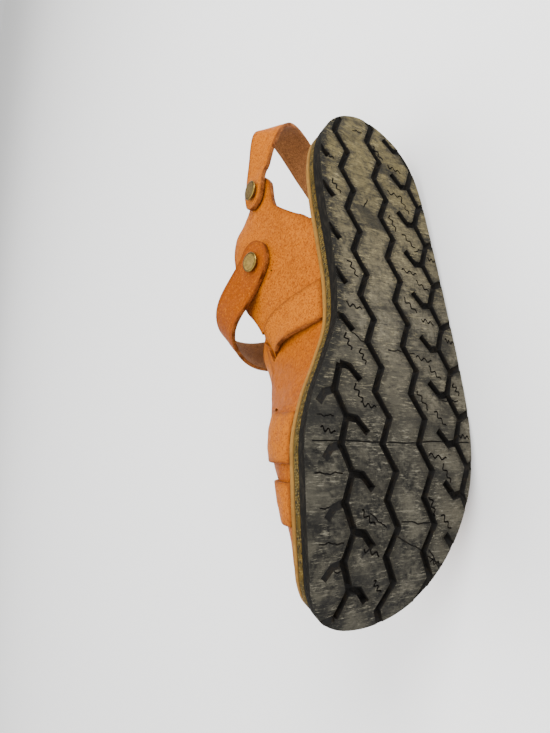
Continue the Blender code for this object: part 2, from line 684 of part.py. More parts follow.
def make_cap(name, s, girth, strap, group):
    """The domed cap of a snap, on the outer face of a strap that lies on the upper."""
    mesh = bpy.data.meshes.new(name)
    mesh.from_pydata([(r * MM, 0, z * MM) for r, z in CAP],
                     [(k, k + 1) for k in range(len(CAP) - 1)], [])
    cap = bpy.data.objects.new(name, mesh)
    group.objects.link(cap)
    screw = cap.modifiers.new("turn", "SCREW")
    screw.steps = screw.render_steps = CAP_SIDES
    screw.use_merge_vertices = True
    screw.merge_threshold = 0.00001
    settle(cap)
    seat, normal = seat_on(strap, s, girth, CAP[-2][0])
    turned = normal.to_track_quat("Z", "Y").to_matrix().to_4x4()
    cap.data.transform(Matrix.Translation(seat + normal * (GAP + SLACK) * MM) @ turned)
    face_outwards(cap.data)
    return cap


def triangles(item):
    item.data.calc_loop_triangles()
    places = np.array([v.co for v in item.data.vertices])
    return places[[list(t.vertices) for t in item.data.loop_triangles]]


def mass_and_centre(items):
    """Mass in grams and centre of mass of the parts, from their solids and densities."""
    mass, moment = 0.0, np.zeros(3)
    for item, (*_, density) in items:
        a, b, c = np.moveaxis(triangles(item), 1, 0)
        masses = np.einsum("ij,ij->i", a, np.cross(b, c)) / 6 * density * 1e6
        mass += masses.sum()
        moment += ((a + b + c) / 4 * masses[:, None]).sum(axis=0)
    return mass, moment / mass


def lay_down(items, stand):
    """Turn the empty that carries the sandal so that it rests on its outer side."""
    places = np.vstack([[v.co for v in item.data.vertices] for item, _ in items])
    _, centre = mass_and_centre(items)
    bm = bmesh.new()
    for place in places:
        bm.verts.new(place)
    hull = bmesh.ops.convex_hull(bm, input=bm.verts)
    best = None
    for face in (f for f in hull["geom"] if isinstance(f, bmesh.types.BMFace)):
        normal = np.array(face.normal)
        if normal[0] < 0.8:
            continue
        corners = np.array([v.co for v in face.verts])
        below = centre + normal * np.dot(corners[0] - centre, normal)
        sides = np.cross(np.roll(corners, -1, axis=0) - corners, below - corners) @ normal
        margin = (sides / np.linalg.norm(np.roll(corners, -1, axis=0) - corners, axis=1)).min()
        if best is None or margin > best[0]:
            best = (margin, normal, corners)
    bm.free()
    margin, down, corners = best
    print("rests on", (corners / MM).round(1).tolist(), "margin mm", round(margin / MM, 2))
    toe = np.array([0, 1, 0]) - down[1] * down
    toe /= np.linalg.norm(toe)
    turned = np.stack([np.cross(toe, -down), toe, -down])
    laid = places @ turned.T
    shift = -np.append((laid.min(axis=0) + laid.max(axis=0))[:2] / 2, laid[:, 2].min())
    matrix = Matrix(turned.tolist()).to_4x4()
    stand.matrix_world = Matrix.Translation(Vector(shift)) @ matrix


def finish(item, look, stand):
    """Give a part its material, its shading and its place on the stand."""
    colour, roughness, metallic, _ = look
    material = bpy.data.materials.new(item.name)
    material.use_nodes = True
    surface = material.node_tree.nodes["Principled BSDF"]
    surface.inputs["Base Color"].default_value = (*colour, 1)
    surface.inputs["Roughness"].default_value = roughness
    surface.inputs["Metallic"].default_value = metallic
    item.data.materials.clear()
    item.data.materials.append(material)
    item.data.shade_smooth()
    item.data.set_sharp_from_angle(angle=math.radians(30))
    item.parent = stand


def main():
    fresh_scene()
    parts = own_collection("fisherman_sandal")
    ring = closed_curve(OUTLINE, RING)
    ply = make_layer("ply_layer", inset_ring(ring, PLY_INSET), GAP, ON_PLY, parts)
    midsole = make_layer("midsole", inset_ring(ring, MIDSOLE_INSET), ON_PLY + GAP, ON_MIDSOLE,
                         parts)
    insole = make_layer("insole", insole_ring(), ON_MIDSOLE + GAP, ON_INSOLE, parts)
    upper = make_upper(parts)
    instep, heel = make_instep_strap(upper, parts), make_heel_strap(upper, parts)
    s, girth = HEEL_SNAP
    items = (
        (make_outsole(parts), RUBBER),
        (ply, PLY_SHEET),
        (midsole, NATURAL),
        (insole, LINING),
        (upper, TAN),
        (instep, TAN),
        (heel, TAN),
        (make_cap("instep_snap", *INSTEP_SNAP, instep, parts), BRASS),
        (make_cap("heel_snap_inner", s, -girth, heel, parts), BRASS),
        (make_cap("heel_snap_outer", s, girth, heel, parts), BRASS))
    stand = bpy.data.objects.new("sandal", None)
    parts.objects.link(stand)
    for item, look in items:
        finish(item, look, stand)
        mass, _ = mass_and_centre([(item, look)])
        print(item.name, len(triangles(item)), "triangles", round(mass, 1), "g")
    lay_down(items, stand)


main()
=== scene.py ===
# Fisherman sandal, lying on its outer side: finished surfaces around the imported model
import math

import bmesh
import bpy
import numpy as np
from mathutils import Matrix, Vector
from mathutils import noise as mathNoise
from mathutils.bvhtree import BVHTree
from mathutils.kdtree import KDTree


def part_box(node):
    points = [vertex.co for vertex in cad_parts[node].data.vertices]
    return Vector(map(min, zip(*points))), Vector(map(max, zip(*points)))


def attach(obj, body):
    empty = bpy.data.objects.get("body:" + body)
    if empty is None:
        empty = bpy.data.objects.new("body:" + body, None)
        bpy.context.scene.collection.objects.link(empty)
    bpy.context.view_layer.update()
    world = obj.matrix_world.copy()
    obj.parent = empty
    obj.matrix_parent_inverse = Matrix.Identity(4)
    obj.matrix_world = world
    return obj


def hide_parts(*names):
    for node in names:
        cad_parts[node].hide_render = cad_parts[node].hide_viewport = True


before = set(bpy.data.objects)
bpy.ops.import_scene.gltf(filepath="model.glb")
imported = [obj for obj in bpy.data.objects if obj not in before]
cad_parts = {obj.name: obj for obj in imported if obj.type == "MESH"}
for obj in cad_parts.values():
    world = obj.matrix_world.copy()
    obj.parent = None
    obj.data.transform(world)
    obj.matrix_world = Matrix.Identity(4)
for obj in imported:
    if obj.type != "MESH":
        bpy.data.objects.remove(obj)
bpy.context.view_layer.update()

mm = 0.001

# the sandal's own layout, in millimetres: x to the outer side, s along the sole from the
# back of the heel, h up from the tread

sole = {
    "heelRubber": 7.6, "waistRubber": 6.4, "toeRubber": 5.8,
    "ply": 3.4, "midsole": 3.0, "insole": 2.6, "gap": 0.3, "plyInset": 0.3,
    "midsoleInset": 0.2,
    "springStart": 180.0, "springTurn": 0.66, "springPower": 1.6,
    "heelStart": 45.0, "heelTurn": 0.14,
}
wallSizes = {
    "wall": 2.4, "strap": 2.4, "inset": 2.6, "ridgeFan": 185.0, "ridgeEnd": 238.0,
    "belowBase": 40.0, "closedFrom": 211.0,
}
# clockwise from the back of the heel: x, s
outline = (
    (0, 6.5), (10, 9.3), (18.5, 14.8), (25.5, 21.8), (30.5, 30), (33.8, 41), (36.2, 57),
    (37.5, 78), (38.6, 100), (39.6, 130), (40.2, 158), (39.7, 180), (37.4, 200), (32.8, 220),
    (26.8, 235), (19, 249.5), (10, 262), (-2, 273.8), (-15, 280.4), (-30, 282.8), (-44, 280.4),
    (-55, 273.4), (-60.8, 263), (-63.8, 250), (-65.8, 234), (-66.4, 215), (-65, 195),
    (-58.8, 177), (-48.3, 157), (-39.4, 138), (-36.2, 118), (-36, 90), (-36.5, 62), (-35, 42),
    (-30.5, 27), (-22, 15.5), (-11, 8.6))
# s, ridge height, ridge x, roundness, inner swell, outer swell, how high up it swells
ribs = (
    (10, 98, 0, 2.5, 16, 14, 0.35),
    (22, 100, 0, 2.5, 16, 14, 0.35),
    (31, 101, 0, 2.5, 11.5, 9, 0.4),
    (45, 103, 0, 2.8, 12, 7, 0.9),
    (60, 104, 0, 2.8, 15, 6, 1.3),
    (76, 104, 0, 2.8, 15.5, 6, 1.4),
    (95, 103, 0, 2.8, 12.5, 5.5, 1.2),
    (110, 99.5, -1, 2.8, 9, 4, 1.0),
    (130, 89, -2, 2.6, 6, 3.5, 1.0),
    (150, 78, -4, 2.4, 3.5, 3.8, 1.0),
    (170, 65.5, -8, 2.3, 2, 4.5, 1.0),
    (190, 52.5, -12, 2.3, 1, 4.2, 1.0),
    (210, 42, -15, 2.3, 0, 2.5, 1.0),
    (225, 33, -18, 2.0, 0, 0.5, 1.0),
    (238, 24, -20, 1.7, 0, 0, 1.0))


def hermite(knots, values, at, monotone=False):
    knots, values = np.asarray(knots, float), np.asarray(values, float)
    at = np.clip(np.asarray(at, float), knots[0], knots[-1])
    slopes = np.gradient(values, knots, axis=0)
    if monotone:
        steps = (np.diff(values, axis=0).T / np.diff(knots)).T
        before, after = steps[:-1], steps[1:]
        agree = before * after > 0
        total = np.where(agree, before + after, 1)
        slopes[1:-1] = np.where(agree, 2 * before * after / total, 0)
    i = np.clip(np.searchsorted(knots, at) - 1, 0, len(knots) - 2)
    span = knots[i + 1] - knots[i]
    t = (at - knots[i]) / span
    if values.ndim > 1:
        t, span = t[..., None], span[..., None]
    return ((1 + 2 * t) * (1 - t) ** 2 * values[i] + t * (1 - t) ** 2 * span * slopes[i]
            + t * t * (3 - 2 * t) * values[i + 1] + t * t * (t - 1) * span * slopes[i + 1])


def ribColumn(index, at):
    rows = np.array(ribs, float)
    return hermite(rows[:, 0], rows[:, index], at)


def distances(places):
    # how far along a line each of its points is
    return np.concatenate([[0.0], np.cumsum(np.linalg.norm(np.diff(places, axis=0), axis=1))])


def closedCurve(corners, count):
    ring = np.array(corners, float)
    ring = np.vstack([ring[-2:], ring, ring[:3]])
    knots = distances(ring)
    return hermite(knots, ring, np.linspace(knots[2], knots[-3], count, endpoint=False))


def unit(vectors):
    return vectors / np.maximum(np.linalg.norm(vectors, axis=-1, keepdims=True), 1e-9)


def insetRing(ring, inset):
    tangent = unit(np.roll(ring, -1, axis=0) - np.roll(ring, 1, axis=0))
    return ring + inset * np.stack([-tangent[:, 1], tangent[:, 0]], axis=1)


def ringSides(inset):
    ring = insetRing(closedCurve(outline, 360), inset)
    ring = np.roll(ring, -int(ring[:, 1].argmin()), axis=0)
    toe = int(ring[:, 1].argmax())
    return np.vstack([ring[toe:], ring[:1]])[::-1], ring[:toe + 1]


treadLength = closedCurve(outline, 360)[:, 1].max()
wallInner, wallOuter = ringSides(wallSizes["inset"])
wallToe = wallInner[-1, 1]


def turn(s):
    heel = -sole["heelTurn"] * np.clip((sole["heelStart"] - s) / sole["heelStart"], 0, None)
    toe = np.clip((s - sole["springStart"]) / (treadLength - sole["springStart"]), 0, None)
    return heel + sole["springTurn"] * toe ** sole["springPower"]


arc = np.arange(-30.0, treadLength + 40, 0.5)
arcY = np.concatenate([[0.0], np.cumsum(np.cos(turn(arc[:-1] + 0.25)) * 0.5)])
arcZ = np.concatenate([[0.0], np.cumsum(np.sin(turn(arc[:-1] + 0.25)) * 0.5)])
arcY += sole["heelStart"] - np.interp(sole["heelStart"], arc, arcY)
arcZ -= np.interp(sole["heelStart"], arc, arcZ)


def bend(flat, heel=True):
    # wraps x, s, h over the toe spring, and over the rounded heel
    x, s, h = np.moveaxis(np.asarray(flat, float), -1, 0)
    angle = turn(s)
    y, z = np.interp(s, arc, arcY), np.interp(s, arc, arcZ)
    if not heel:
        behind = s < sole["heelStart"]
        angle, y, z = np.where(behind, 0, angle), np.where(behind, s, y), np.where(behind, 0, z)
    return np.stack([x, y - h * np.sin(angle), z + h * np.cos(angle)], axis=-1)


def rubberAt(s):
    return hermite((0, 60, 125, 190, treadLength),
                   (sole["heelRubber"], sole["heelRubber"], sole["waistRubber"],
                    sole["toeRubber"], sole["toeRubber"]), s)


onPly = sole["gap"] + sole["ply"]
onMidsole = onPly + sole["gap"] + sole["midsole"]
onInsole = onMidsole + sole["gap"] + sole["insole"]


def upperAt(s, girth, lift=0.0):
    # girth runs from -1 at the inner base over the ridge to 1 at the outer base
    if np.any(lift):
        return upperAt(s, girth) + upperNormal(s, girth) * np.asarray(lift)[..., None]
    s, girth = np.broadcast_arrays(np.asarray(s, float), np.asarray(girth, float))
    inner = girth < 0
    rise = 1 - np.abs(girth)
    angle = np.clip(rise, 0, 1) * math.pi / 2
    past = np.clip(s - wallSizes["ridgeFan"], 0, None)
    room = wallToe - wallSizes["ridgeFan"]
    ridgeS = s - past ** 2 / room ** 2 * (wallToe - wallSizes["ridgeEnd"])
    height, ridgeX, roundness = (ribColumn(k, ridgeS) for k in (1, 2, 3))
    swell = np.where(inner, -ribColumn(4, ridgeS), ribColumn(5, ridgeS))
    baseX = np.where(inner, np.interp(s, wallInner[:, 1], wallInner[:, 0]),
                     np.interp(s, wallOuter[:, 1], wallOuter[:, 0]))
    inwards = 1 - np.cos(angle) ** (2 / roundness)
    bulge = np.clip(np.sin(2 * angle), 0, None) ** ribColumn(6, ridgeS)
    x = baseX + (ridgeX - baseX) * inwards + swell * bulge
    along = s + (ridgeS - s) * inwards
    h = rubberAt(along) + onMidsole + sole["gap"] + height * np.sin(angle) ** (2 / roundness)
    h = h + np.minimum(rise, 0) * wallSizes["belowBase"]
    return bend(np.stack([x, along, h], axis=-1), heel=False)


def upperNormal(s, girth):
    s, girth = np.asarray(s, float), np.asarray(girth, float)
    along = upperAt(s + 0.5, girth) - upperAt(s - 0.5, girth)
    across = upperAt(s, girth + 0.005) - upperAt(s, girth - 0.005)
    return unit(np.cross(across, along))


# small helpers for making pieces

def deselectAll():
    if bpy.context.object and bpy.context.object.mode == "EDIT":
        bpy.ops.object.mode_set(mode="OBJECT")
    bpy.ops.object.select_all(action="DESELECT")


def pick(piece):
    deselectAll()
    piece.select_set(True)
    bpy.context.view_layer.objects.active = piece


def named(name):
    piece = bpy.context.object
    piece.name = piece.data.name = name
    return piece


def points(piece):
    flat = np.zeros(len(piece.data.vertices) * 3, np.float32)
    piece.data.vertices.foreach_get("co", flat)
    return flat.reshape(-1, 3).astype(float)


def setPoints(piece, places):
    piece.data.vertices.foreach_set("co", np.asarray(places, np.float32).ravel())
    piece.data.update()


def laidGrid(name, columns, rows, place):
    # a grid whose u and v, both from 0 to 1, are laid somewhere in millimetres
    deselectAll()
    bpy.ops.mesh.primitive_grid_add(x_subdivisions=columns, y_subdivisions=rows, size=2)
    piece = named(name)
    uv = (points(piece)[:, :2] + 1) / 2
    setPoints(piece, place(uv[:, 0], uv[:, 1]) * mm)
    return piece


def modify(piece, kind, **settings):
    pick(piece)
    modifier = piece.modifiers.new(kind.lower(), kind)
    for key, value in settings.items():
        setattr(modifier, key, value)
    bpy.ops.object.modifier_apply(modifier=modifier.name)


def editAll(piece, operator, **settings):
    # runs one operator on the whole mesh
    pick(piece)
    bpy.ops.object.mode_set(mode="EDIT")
    bpy.ops.mesh.select_all(action="SELECT")
    operator(**settings)
    bpy.ops.object.mode_set(mode="OBJECT")


def outwards(piece, merge=0.0):
    # closes seams, then turns all faces outwards
    if merge:
        editAll(piece, bpy.ops.mesh.remove_doubles, threshold=merge * mm)
    editAll(piece, bpy.ops.mesh.normals_make_consistent, inside=False)


def triangulated(piece):
    editAll(piece, bpy.ops.mesh.quads_convert_to_tris, quad_method="BEAUTY",
            ngon_method="BEAUTY")


def smooth(piece, degrees):
    pick(piece)
    bpy.ops.object.shade_smooth_by_angle(angle=math.radians(degrees))


def joined(pieces, name):
    pick(pieces[0])
    for piece in pieces[1:]:
        piece.select_set(True)
    bpy.ops.object.join()
    return named(name)


# nodes

def newMaterial(name):
    material = bpy.data.materials.new(name)
    material.use_nodes = True
    tree = material.node_tree
    return material, tree, tree.nodes["Principled BSDF"]


def fill(tree, item, inputs):
    # a node's output is linked, and anything else is set on the socket
    for key, value in inputs.items():
        if isinstance(value, bpy.types.NodeSocket):
            tree.links.new(value, item.inputs[key])
        else:
            item.inputs[key].default_value = value


def put(tree, kind, inputs=None, **settings):
    item = tree.nodes.new("ShaderNode" + kind)
    for key, value in settings.items():
        setattr(item, key, value)
    fill(tree, item, inputs or {})
    return item


def inMillimetres(tree, stretch=(1, 1, 1)):
    place = put(tree, "TexCoord").outputs["Object"]
    return put(tree, "Mapping", {"Vector": place, "Scale": [k / mm for k in stretch]}
               ).outputs["Vector"]


def noise(tree, vector, size, detail=4.0, roughness=0.55, distortion=0.0):
    # size is that of one blotch, in millimetres
    return put(tree, "TexNoise", {"Vector": vector, "Scale": 1 / size, "Detail": detail,
                                  "Roughness": roughness, "Distortion": distortion}
               ).outputs["Fac"]


def cells(tree, vector, size, feature="F1", randomness=1.0):
    return put(tree, "TexVoronoi", {"Vector": vector, "Scale": 1 / size,
                                    "Randomness": randomness}, feature=feature
               ).outputs["Distance"]


def remap(tree, value, low, high, newLow=0.0, newHigh=1.0):
    return put(tree, "MapRange", {"Value": value, "From Min": low, "From Max": high,
                                  "To Min": newLow, "To Max": newHigh}).outputs["Result"]


def calc(tree, operation, a, b=0.0):
    return put(tree, "Math", {0: a, 1: b}, operation=operation).outputs[0]


def mixed(tree, factor, a, b):
    a, b = (c if isinstance(c, bpy.types.NodeSocket) else (*c, 1) for c in (a, b))
    return put(tree, "Mix", {0: factor, 6: a, 7: b}, data_type="RGBA").outputs[2]


def bump(tree, height, distance, strength=1.0, under=None):
    inputs = {"Height": height, "Distance": distance * mm, "Strength": strength}
    if under:
        inputs["Normal"] = under
    return put(tree, "Bump", inputs).outputs["Normal"]


def split(tree, vector):
    return put(tree, "SeparateXYZ", {"Vector": vector}).outputs


def painted(tree, name):
    # a value stored on the points of a mesh
    return put(tree, "Attribute", attribute_name=name).outputs["Fac"]


# edge is the dark of the burnished rim and of the painted shade along the cut edges
leather = {
    "colour": (0.355, 0.086, 0.0005), "deep": (0.20, 0.040, 0.0005),
    "pale": (0.45, 0.130, 0.002), "speck": (0.125, 0.021, 0.0003),
    "edge": (0.085, 0.017, 0.002), "sheen": (1.0, 0.45, 0.15, 1),
    "grain": 0.9, "grainDepth": 0.12,
}


def grainLeather(name, paler=0.0, deeper=0.0, toeDeeper=0.0):
    material, tree, shader = newMaterial(name)
    place = inMillimetres(tree)
    broad = noise(tree, place, 24, 3, 0.5, 0.6)
    middle = noise(tree, place, 5.5, 4, 0.6)
    fine = noise(tree, place, 1.6, 3, 0.7)
    specks = noise(tree, place, 1.0, 2, 0.6)
    colour = mixed(tree, remap(tree, broad, 0.34, 0.62), leather["deep"], leather["colour"])
    colour = mixed(tree, remap(tree, middle, 0.45, 0.75, 0.0, 0.45), colour, leather["pale"])
    colour = mixed(tree, paler, colour, leather["pale"])
    y = split(tree, place)[1]
    colour = mixed(tree, remap(tree, y, -15, 25, deeper, deeper + toeDeeper), colour,
                   leather["deep"])
    colour = mixed(tree, remap(tree, fine, 0.49, 0.66, 0.0, 0.75), colour, leather["deep"])
    colour = mixed(tree, remap(tree, fine, 0.47, 0.32, 0.0, 0.65), colour, leather["pale"])
    colour = mixed(tree, remap(tree, specks, 0.53, 0.62, 0.0, 0.7), colour, leather["speck"])
    # near the cut edges the leather turns to the edge colour: partly a burnished rim, partly
    # painted shade along the edges
    rim = painted(tree, "rim")
    worn = calc(tree, "MULTIPLY", rim, remap(tree, middle, 0.3, 0.7, 0.55, 1.0))
    colour = mixed(tree, worn, colour, leather["edge"])
    pores = cells(tree, place, leather["grain"], "DISTANCE_TO_EDGE")
    colour = mixed(tree, remap(tree, pores, 0.0, 0.12, 0.55, 0.0), colour, leather["deep"])
    normal = bump(tree, remap(tree, pores, 0.0, 0.35), leather["grainDepth"], 0.6)
    normal = bump(tree, fine, 0.25, 0.5, normal)
    normal = bump(tree, middle, 0.6, 0.4, normal)
    fill(tree, shader, {"Base Color": colour, "Normal": normal,
                        "Roughness": remap(tree, middle, 0.3, 0.7, 0.66, 0.5),
                        "Specular IOR Level": 0.16, "Specular Tint": leather["sheen"]})
    return material


def fleshSide(name):
    material, tree, shader = newMaterial(name)
    place = inMillimetres(tree)
    fibres = noise(tree, place, 0.9, 5, 0.8, 1.5)
    clumps = noise(tree, place, 3.0, 4, 0.6)
    colour = mixed(tree, remap(tree, fibres, 0.38, 0.62), (0.10, 0.034, 0.010),
                   (0.40, 0.165, 0.050))
    colour = mixed(tree, remap(tree, clumps, 0.4, 0.7, 0.0, 0.5), colour, (0.17, 0.06, 0.018))
    fill(tree, shader, {"Base Color": colour, "Normal": bump(tree, fibres, 0.5, 0.9),
                        "Roughness": 0.95, "Specular IOR Level": 0.15, "Sheen Weight": 0.1})
    return material


def cutEdge(name):
    material, tree, shader = newMaterial(name)
    place = inMillimetres(tree)
    fibres = noise(tree, place, 0.7, 4, 0.7)
    patches = noise(tree, place, 5.0, 3, 0.5)
    # the cut edge's dark brown is partly its own colour and partly painted shadow of the gap
    # under the strap edges
    colour = mixed(tree, remap(tree, fibres, 0.35, 0.7), (0.13, 0.034, 0.006),
                   (0.38, 0.135, 0.034))
    colour = mixed(tree, remap(tree, patches, 0.42, 0.60, 0.0, 0.85), colour,
                   (0.07, 0.016, 0.003))
    fill(tree, shader, {"Base Color": colour, "Normal": bump(tree, fibres, 0.3, 0.6),
                        "Roughness": 0.7, "Specular IOR Level": 0.12,
                        "Specular Tint": leather["sheen"]})
    return material


def brassFinish(name):
    material, tree, shader = newMaterial(name)
    place = inMillimetres(tree)
    patina = noise(tree, place, 2.2, 5, 0.65, 0.8)
    colour = mixed(tree, remap(tree, patina, 0.4, 0.72), (0.25, 0.160, 0.036),
                   (0.09, 0.055, 0.014))
    # a dark line in the groove inside the rolled rim: tarnish and painted shade
    rim = painted(tree, "rim")
    colour = mixed(tree, rim, colour, (0.02, 0.013, 0.005))
    fill(tree, shader, {"Base Color": colour,
                        "Roughness": remap(tree, patina, 0.35, 0.75, 0.3, 0.52),
                        "Normal": bump(tree, noise(tree, place, 0.8, 3), 0.06, 0.4),
                        "Metallic": 1.0})
    return material


lying = {"tip": 0.0443, "yaw": 0.2552}     # degrees off lying square on the outer side


def wornRubber(name):
    # tread faces: khaki dust on the heel and outer side, grey at the waist, black at the toe,
    # darker beside the grooves, scored across
    material, tree, shader = newMaterial(name)
    place = inMillimetres(tree)
    y, z = split(tree, place)[1:]
    blotch = noise(tree, place, 12, 5, 0.62, 0.5)
    small = noise(tree, place, 3.0, 5, 0.7, 0.3)
    streak = noise(tree, inMillimetres(tree, (1, 1, 0.2)), 0.9, 5, 0.75)
    longStreak = noise(tree, inMillimetres(tree, (1, 1, 0.03)), 1.6, 4, 0.7)
    fine = noise(tree, place, 0.9, 4, 0.7)
    # y is -120 at the heel and 150 at the toe; z is 0 on the outer side and 106 on the inner
    forward = remap(tree, y, 20, 95)
    innerSide = remap(tree, z, 30, 95)
    toeOuter = calc(tree, "MULTIPLY", forward, remap(tree, z, 10, 50, 0.35, 1.0))
    grime = calc(tree, "ADD", toeOuter, calc(tree, "MULTIPLY", innerSide,
                                             remap(tree, y, -110, 0, 0.05, 0.42)))
    grime = calc(tree, "ADD", grime, remap(tree, blotch, 0.35, 0.65, -0.22, 0.22))
    khaki = mixed(tree, remap(tree, y, -90, 10), (0.112, 0.088, 0.036), (0.088, 0.078, 0.055))
    khaki = mixed(tree, remap(tree, small, 0.40, 0.66, 0, 0.85), khaki, (0.032, 0.028, 0.019))
    black = mixed(tree, remap(tree, small, 0.42, 0.66), (0.0045, 0.0042, 0.0036),
                  (0.046, 0.042, 0.032))
    colour = mixed(tree, remap(tree, grime, 0.12, 0.85), khaki, black)
    away = painted(tree, "away")
    beside = calc(tree, "ADD", away, remap(tree, small, 0.3, 0.7, 1.6, -1.6))
    colour = mixed(tree, remap(tree, beside, 0.8, 3.4, 0.8, 0.0), colour,
                   (0.020, 0.018, 0.013))
    inner = painted(tree, "inner")
    ragged = calc(tree, "ADD", inner, remap(tree, small, 0.3, 0.7, 2.6, -2.6))
    colour = mixed(tree, remap(tree, ragged, 2.0, 6.0, 0.93, 0.0), colour,
                   (0.0075, 0.007, 0.006))
    lugs = calc(tree, "MULTIPLY", forward, remap(tree, away, 2.0, 7.0, 0.0, 0.5))
    lugs = calc(tree, "MULTIPLY", lugs, remap(tree, blotch, 0.42, 0.58))
    colour = mixed(tree, lugs, colour, (0.088, 0.080, 0.058))
    pale = mixed(tree, remap(tree, y, -20, 70), (0.22, 0.182, 0.092), (0.155, 0.142, 0.105))
    scratches = remap(tree, streak, 0.53, 0.68, 0.0, 1.0)
    patches = remap(tree, noise(tree, place, 7, 4, 0.65), 0.42, 0.58, 0.15, 1.0)
    colour = mixed(tree, calc(tree, "MULTIPLY", scratches, patches), colour, pale)
    colour = mixed(tree, remap(tree, longStreak, 0.62, 0.70, 0.0, 0.45), colour, pale)
    colour = mixed(tree, remap(tree, streak, 0.34, 0.44, 0.85, 0.0), colour,
                   (0.012, 0.011, 0.009))
    colour = mixed(tree, remap(tree, longStreak, 0.30, 0.38, 0.9, 0.0), colour,
                   (0.006, 0.0055, 0.005))
    smears = noise(tree, inMillimetres(tree, (1, 1, 0.4)), 16, 4, 0.6, 0.8)
    colour = mixed(tree, remap(tree, smears, 0.50, 0.66, 0.0, 0.78), colour,
                   (0.0085, 0.008, 0.007))
    normal = bump(tree, streak, 0.5, 0.8)
    normal = bump(tree, fine, 0.2, 0.6, normal)
    normal = bump(tree, small, 0.8, 0.5, normal)
    fill(tree, shader, {"Base Color": colour, "Normal": normal, "Roughness": 0.85,
                        "Specular IOR Level": 0.12})
    return material


def deepRubber(name):
    # groove walls and floors
    material, tree, shader = newMaterial(name)
    place = inMillimetres(tree)
    dust = noise(tree, place, 3.0, 5, 0.7)
    colour = mixed(tree, remap(tree, dust, 0.5, 0.8), (0.0045, 0.004, 0.0035),
                   (0.020, 0.014, 0.007))
    fill(tree, shader, {"Base Color": colour, "Normal": bump(tree, dust, 0.2, 0.5),
                        "Roughness": 0.85, "Specular IOR Level": 0.15})
    return material


def sideRubber(name):
    # the moulded side of the tread, black with two fine lines along it
    material, tree, shader = newMaterial(name)
    place = inMillimetres(tree)
    level = painted(tree, "level")
    lines = calc(tree, "SINE", calc(tree, "MULTIPLY", level, 2 * math.pi / 2.3))
    dust = noise(tree, inMillimetres(tree, (1, 0.3, 1)), 1.6, 5, 0.7)
    colour = mixed(tree, remap(tree, dust, 0.48, 0.74, 0.0, 0.8), (0.0060, 0.0054, 0.0045),
                   (0.026, 0.022, 0.016))
    normal = bump(tree, lines, 0.12, 0.5)
    fill(tree, shader, {"Base Color": colour,
                        "Normal": bump(tree, noise(tree, place, 0.8, 4), 0.12, 0.4, normal),
                        "Roughness": remap(tree, dust, 0.4, 0.7, 0.75, 0.9),
                        "Specular IOR Level": 0.06})
    return material


def plyRubber(name):
    # olive and dark honey, with the cut ends of its cords as rows of dots
    material, tree, shader = newMaterial(name)
    place = inMillimetres(tree)
    dots = cells(tree, place, 1.15, randomness=0.4)
    tone = noise(tree, place, 4, 4, 0.6)
    ground = mixed(tree, remap(tree, tone, 0.35, 0.7), (0.028, 0.019, 0.003),
                   (0.095, 0.056, 0.006))
    colour = mixed(tree, remap(tree, dots, 0.22, 0.42, 0.9, 0.0), ground, (0.125, 0.088, 0.028))
    dark = cells(tree, place, 1.7, randomness=0.9)
    colour = mixed(tree, remap(tree, dark, 0.22, 0.42, 0.9, 0.0), colour,
                   (0.008, 0.007, 0.005))
    fill(tree, shader, {"Base Color": colour, "Normal": bump(tree, dots, 0.2, 0.5),
                        "Roughness": 0.75, "Specular IOR Level": 0.12})
    return material


def midsoleEdge(name):
    material, tree, shader = newMaterial(name)
    level = painted(tree, "level")
    place = inMillimetres(tree)
    streaks = noise(tree, inMillimetres(tree, (3, 0.25, 1)), 0.9, 4, 0.6)
    tone = noise(tree, place, 9, 4, 0.6)
    colour = mixed(tree, remap(tree, streaks, 0.35, 0.7), (0.165, 0.078, 0.013),
                   (0.30, 0.152, 0.032))
    colour = mixed(tree, remap(tree, tone, 0.45, 0.7, 0, 0.7), colour, (0.13, 0.052, 0.007))
    low = remap(tree, level, 0.0, 1.1, 0.75, 0.0)
    colour = mixed(tree, low, colour, (0.07, 0.042, 0.014))
    fill(tree, shader, {"Base Color": colour, "Normal": bump(tree, streaks, 0.15, 0.5),
                        "Roughness": 0.6, "Specular IOR Level": 0.15,
                        "Specular Tint": leather["sheen"]})
    return material


def footbedLeather(name):
    # darkened by the foot at the heel, ball and toes
    material, tree, shader = newMaterial(name)
    place = inMillimetres(tree)
    worn = noise(tree, place, 34, 2, 0.5)
    fine = noise(tree, place, 1.2, 4, 0.65)
    colour = mixed(tree, remap(tree, worn, 0.4, 0.62), (0.22, 0.095, 0.035),
                   (0.42, 0.20, 0.08))
    colour = mixed(tree, remap(tree, fine, 0.5, 0.75, 0.0, 0.4), colour, (0.15, 0.06, 0.022))
    pores = cells(tree, place, 0.8, "DISTANCE_TO_EDGE")
    fill(tree, shader, {"Base Color": colour,
                        "Normal": bump(tree, remap(tree, pores, 0, 0.35), 0.08, 0.4),
                        "Roughness": remap(tree, worn, 0.4, 0.65, 0.42, 0.6)})
    return material


finishes = {
    "panel": grainLeather("panel leather", 0.45, 0.0, 0.5),
    "strapLeather": grainLeather("strap leather", 0.7),
    "instepLeather": grainLeather("instep strap leather", 0.0, 0.85),
    "flesh": fleshSide("flesh side"),
    "edge": cutEdge("cut edge"),
    "brass": brassFinish("antique brass"),
    "tread": wornRubber("worn tread"),
    "groove": deepRubber("groove rubber"),
    "side": sideRubber("side rubber"),
    "ply": plyRubber("cord ply"),
    "midsole": midsoleEdge("midsole leather"),
    "footbed": footbedLeather("footbed leather"),
}
print("materials:", len(finishes))


def dress(piece, *names):
    piece.data.materials.clear()
    for name in names:
        piece.data.materials.append(finishes[name])


def attribute(piece, name, values):
    layer = piece.data.attributes.new(name, "FLOAT", "POINT")
    layer.data.foreach_set("value", np.asarray(values, np.float32))


# lying down: the finished pieces are made standing, then their meshes are turned over

turned = Matrix.Rotation(math.radians(90 - lying["tip"]), 4, "Y") \
    @ Matrix.Rotation(math.radians(-lying["yaw"]), 4, "Z")


def middleOf(places):
    return (places.min(axis=0) + places.max(axis=0)) / 2


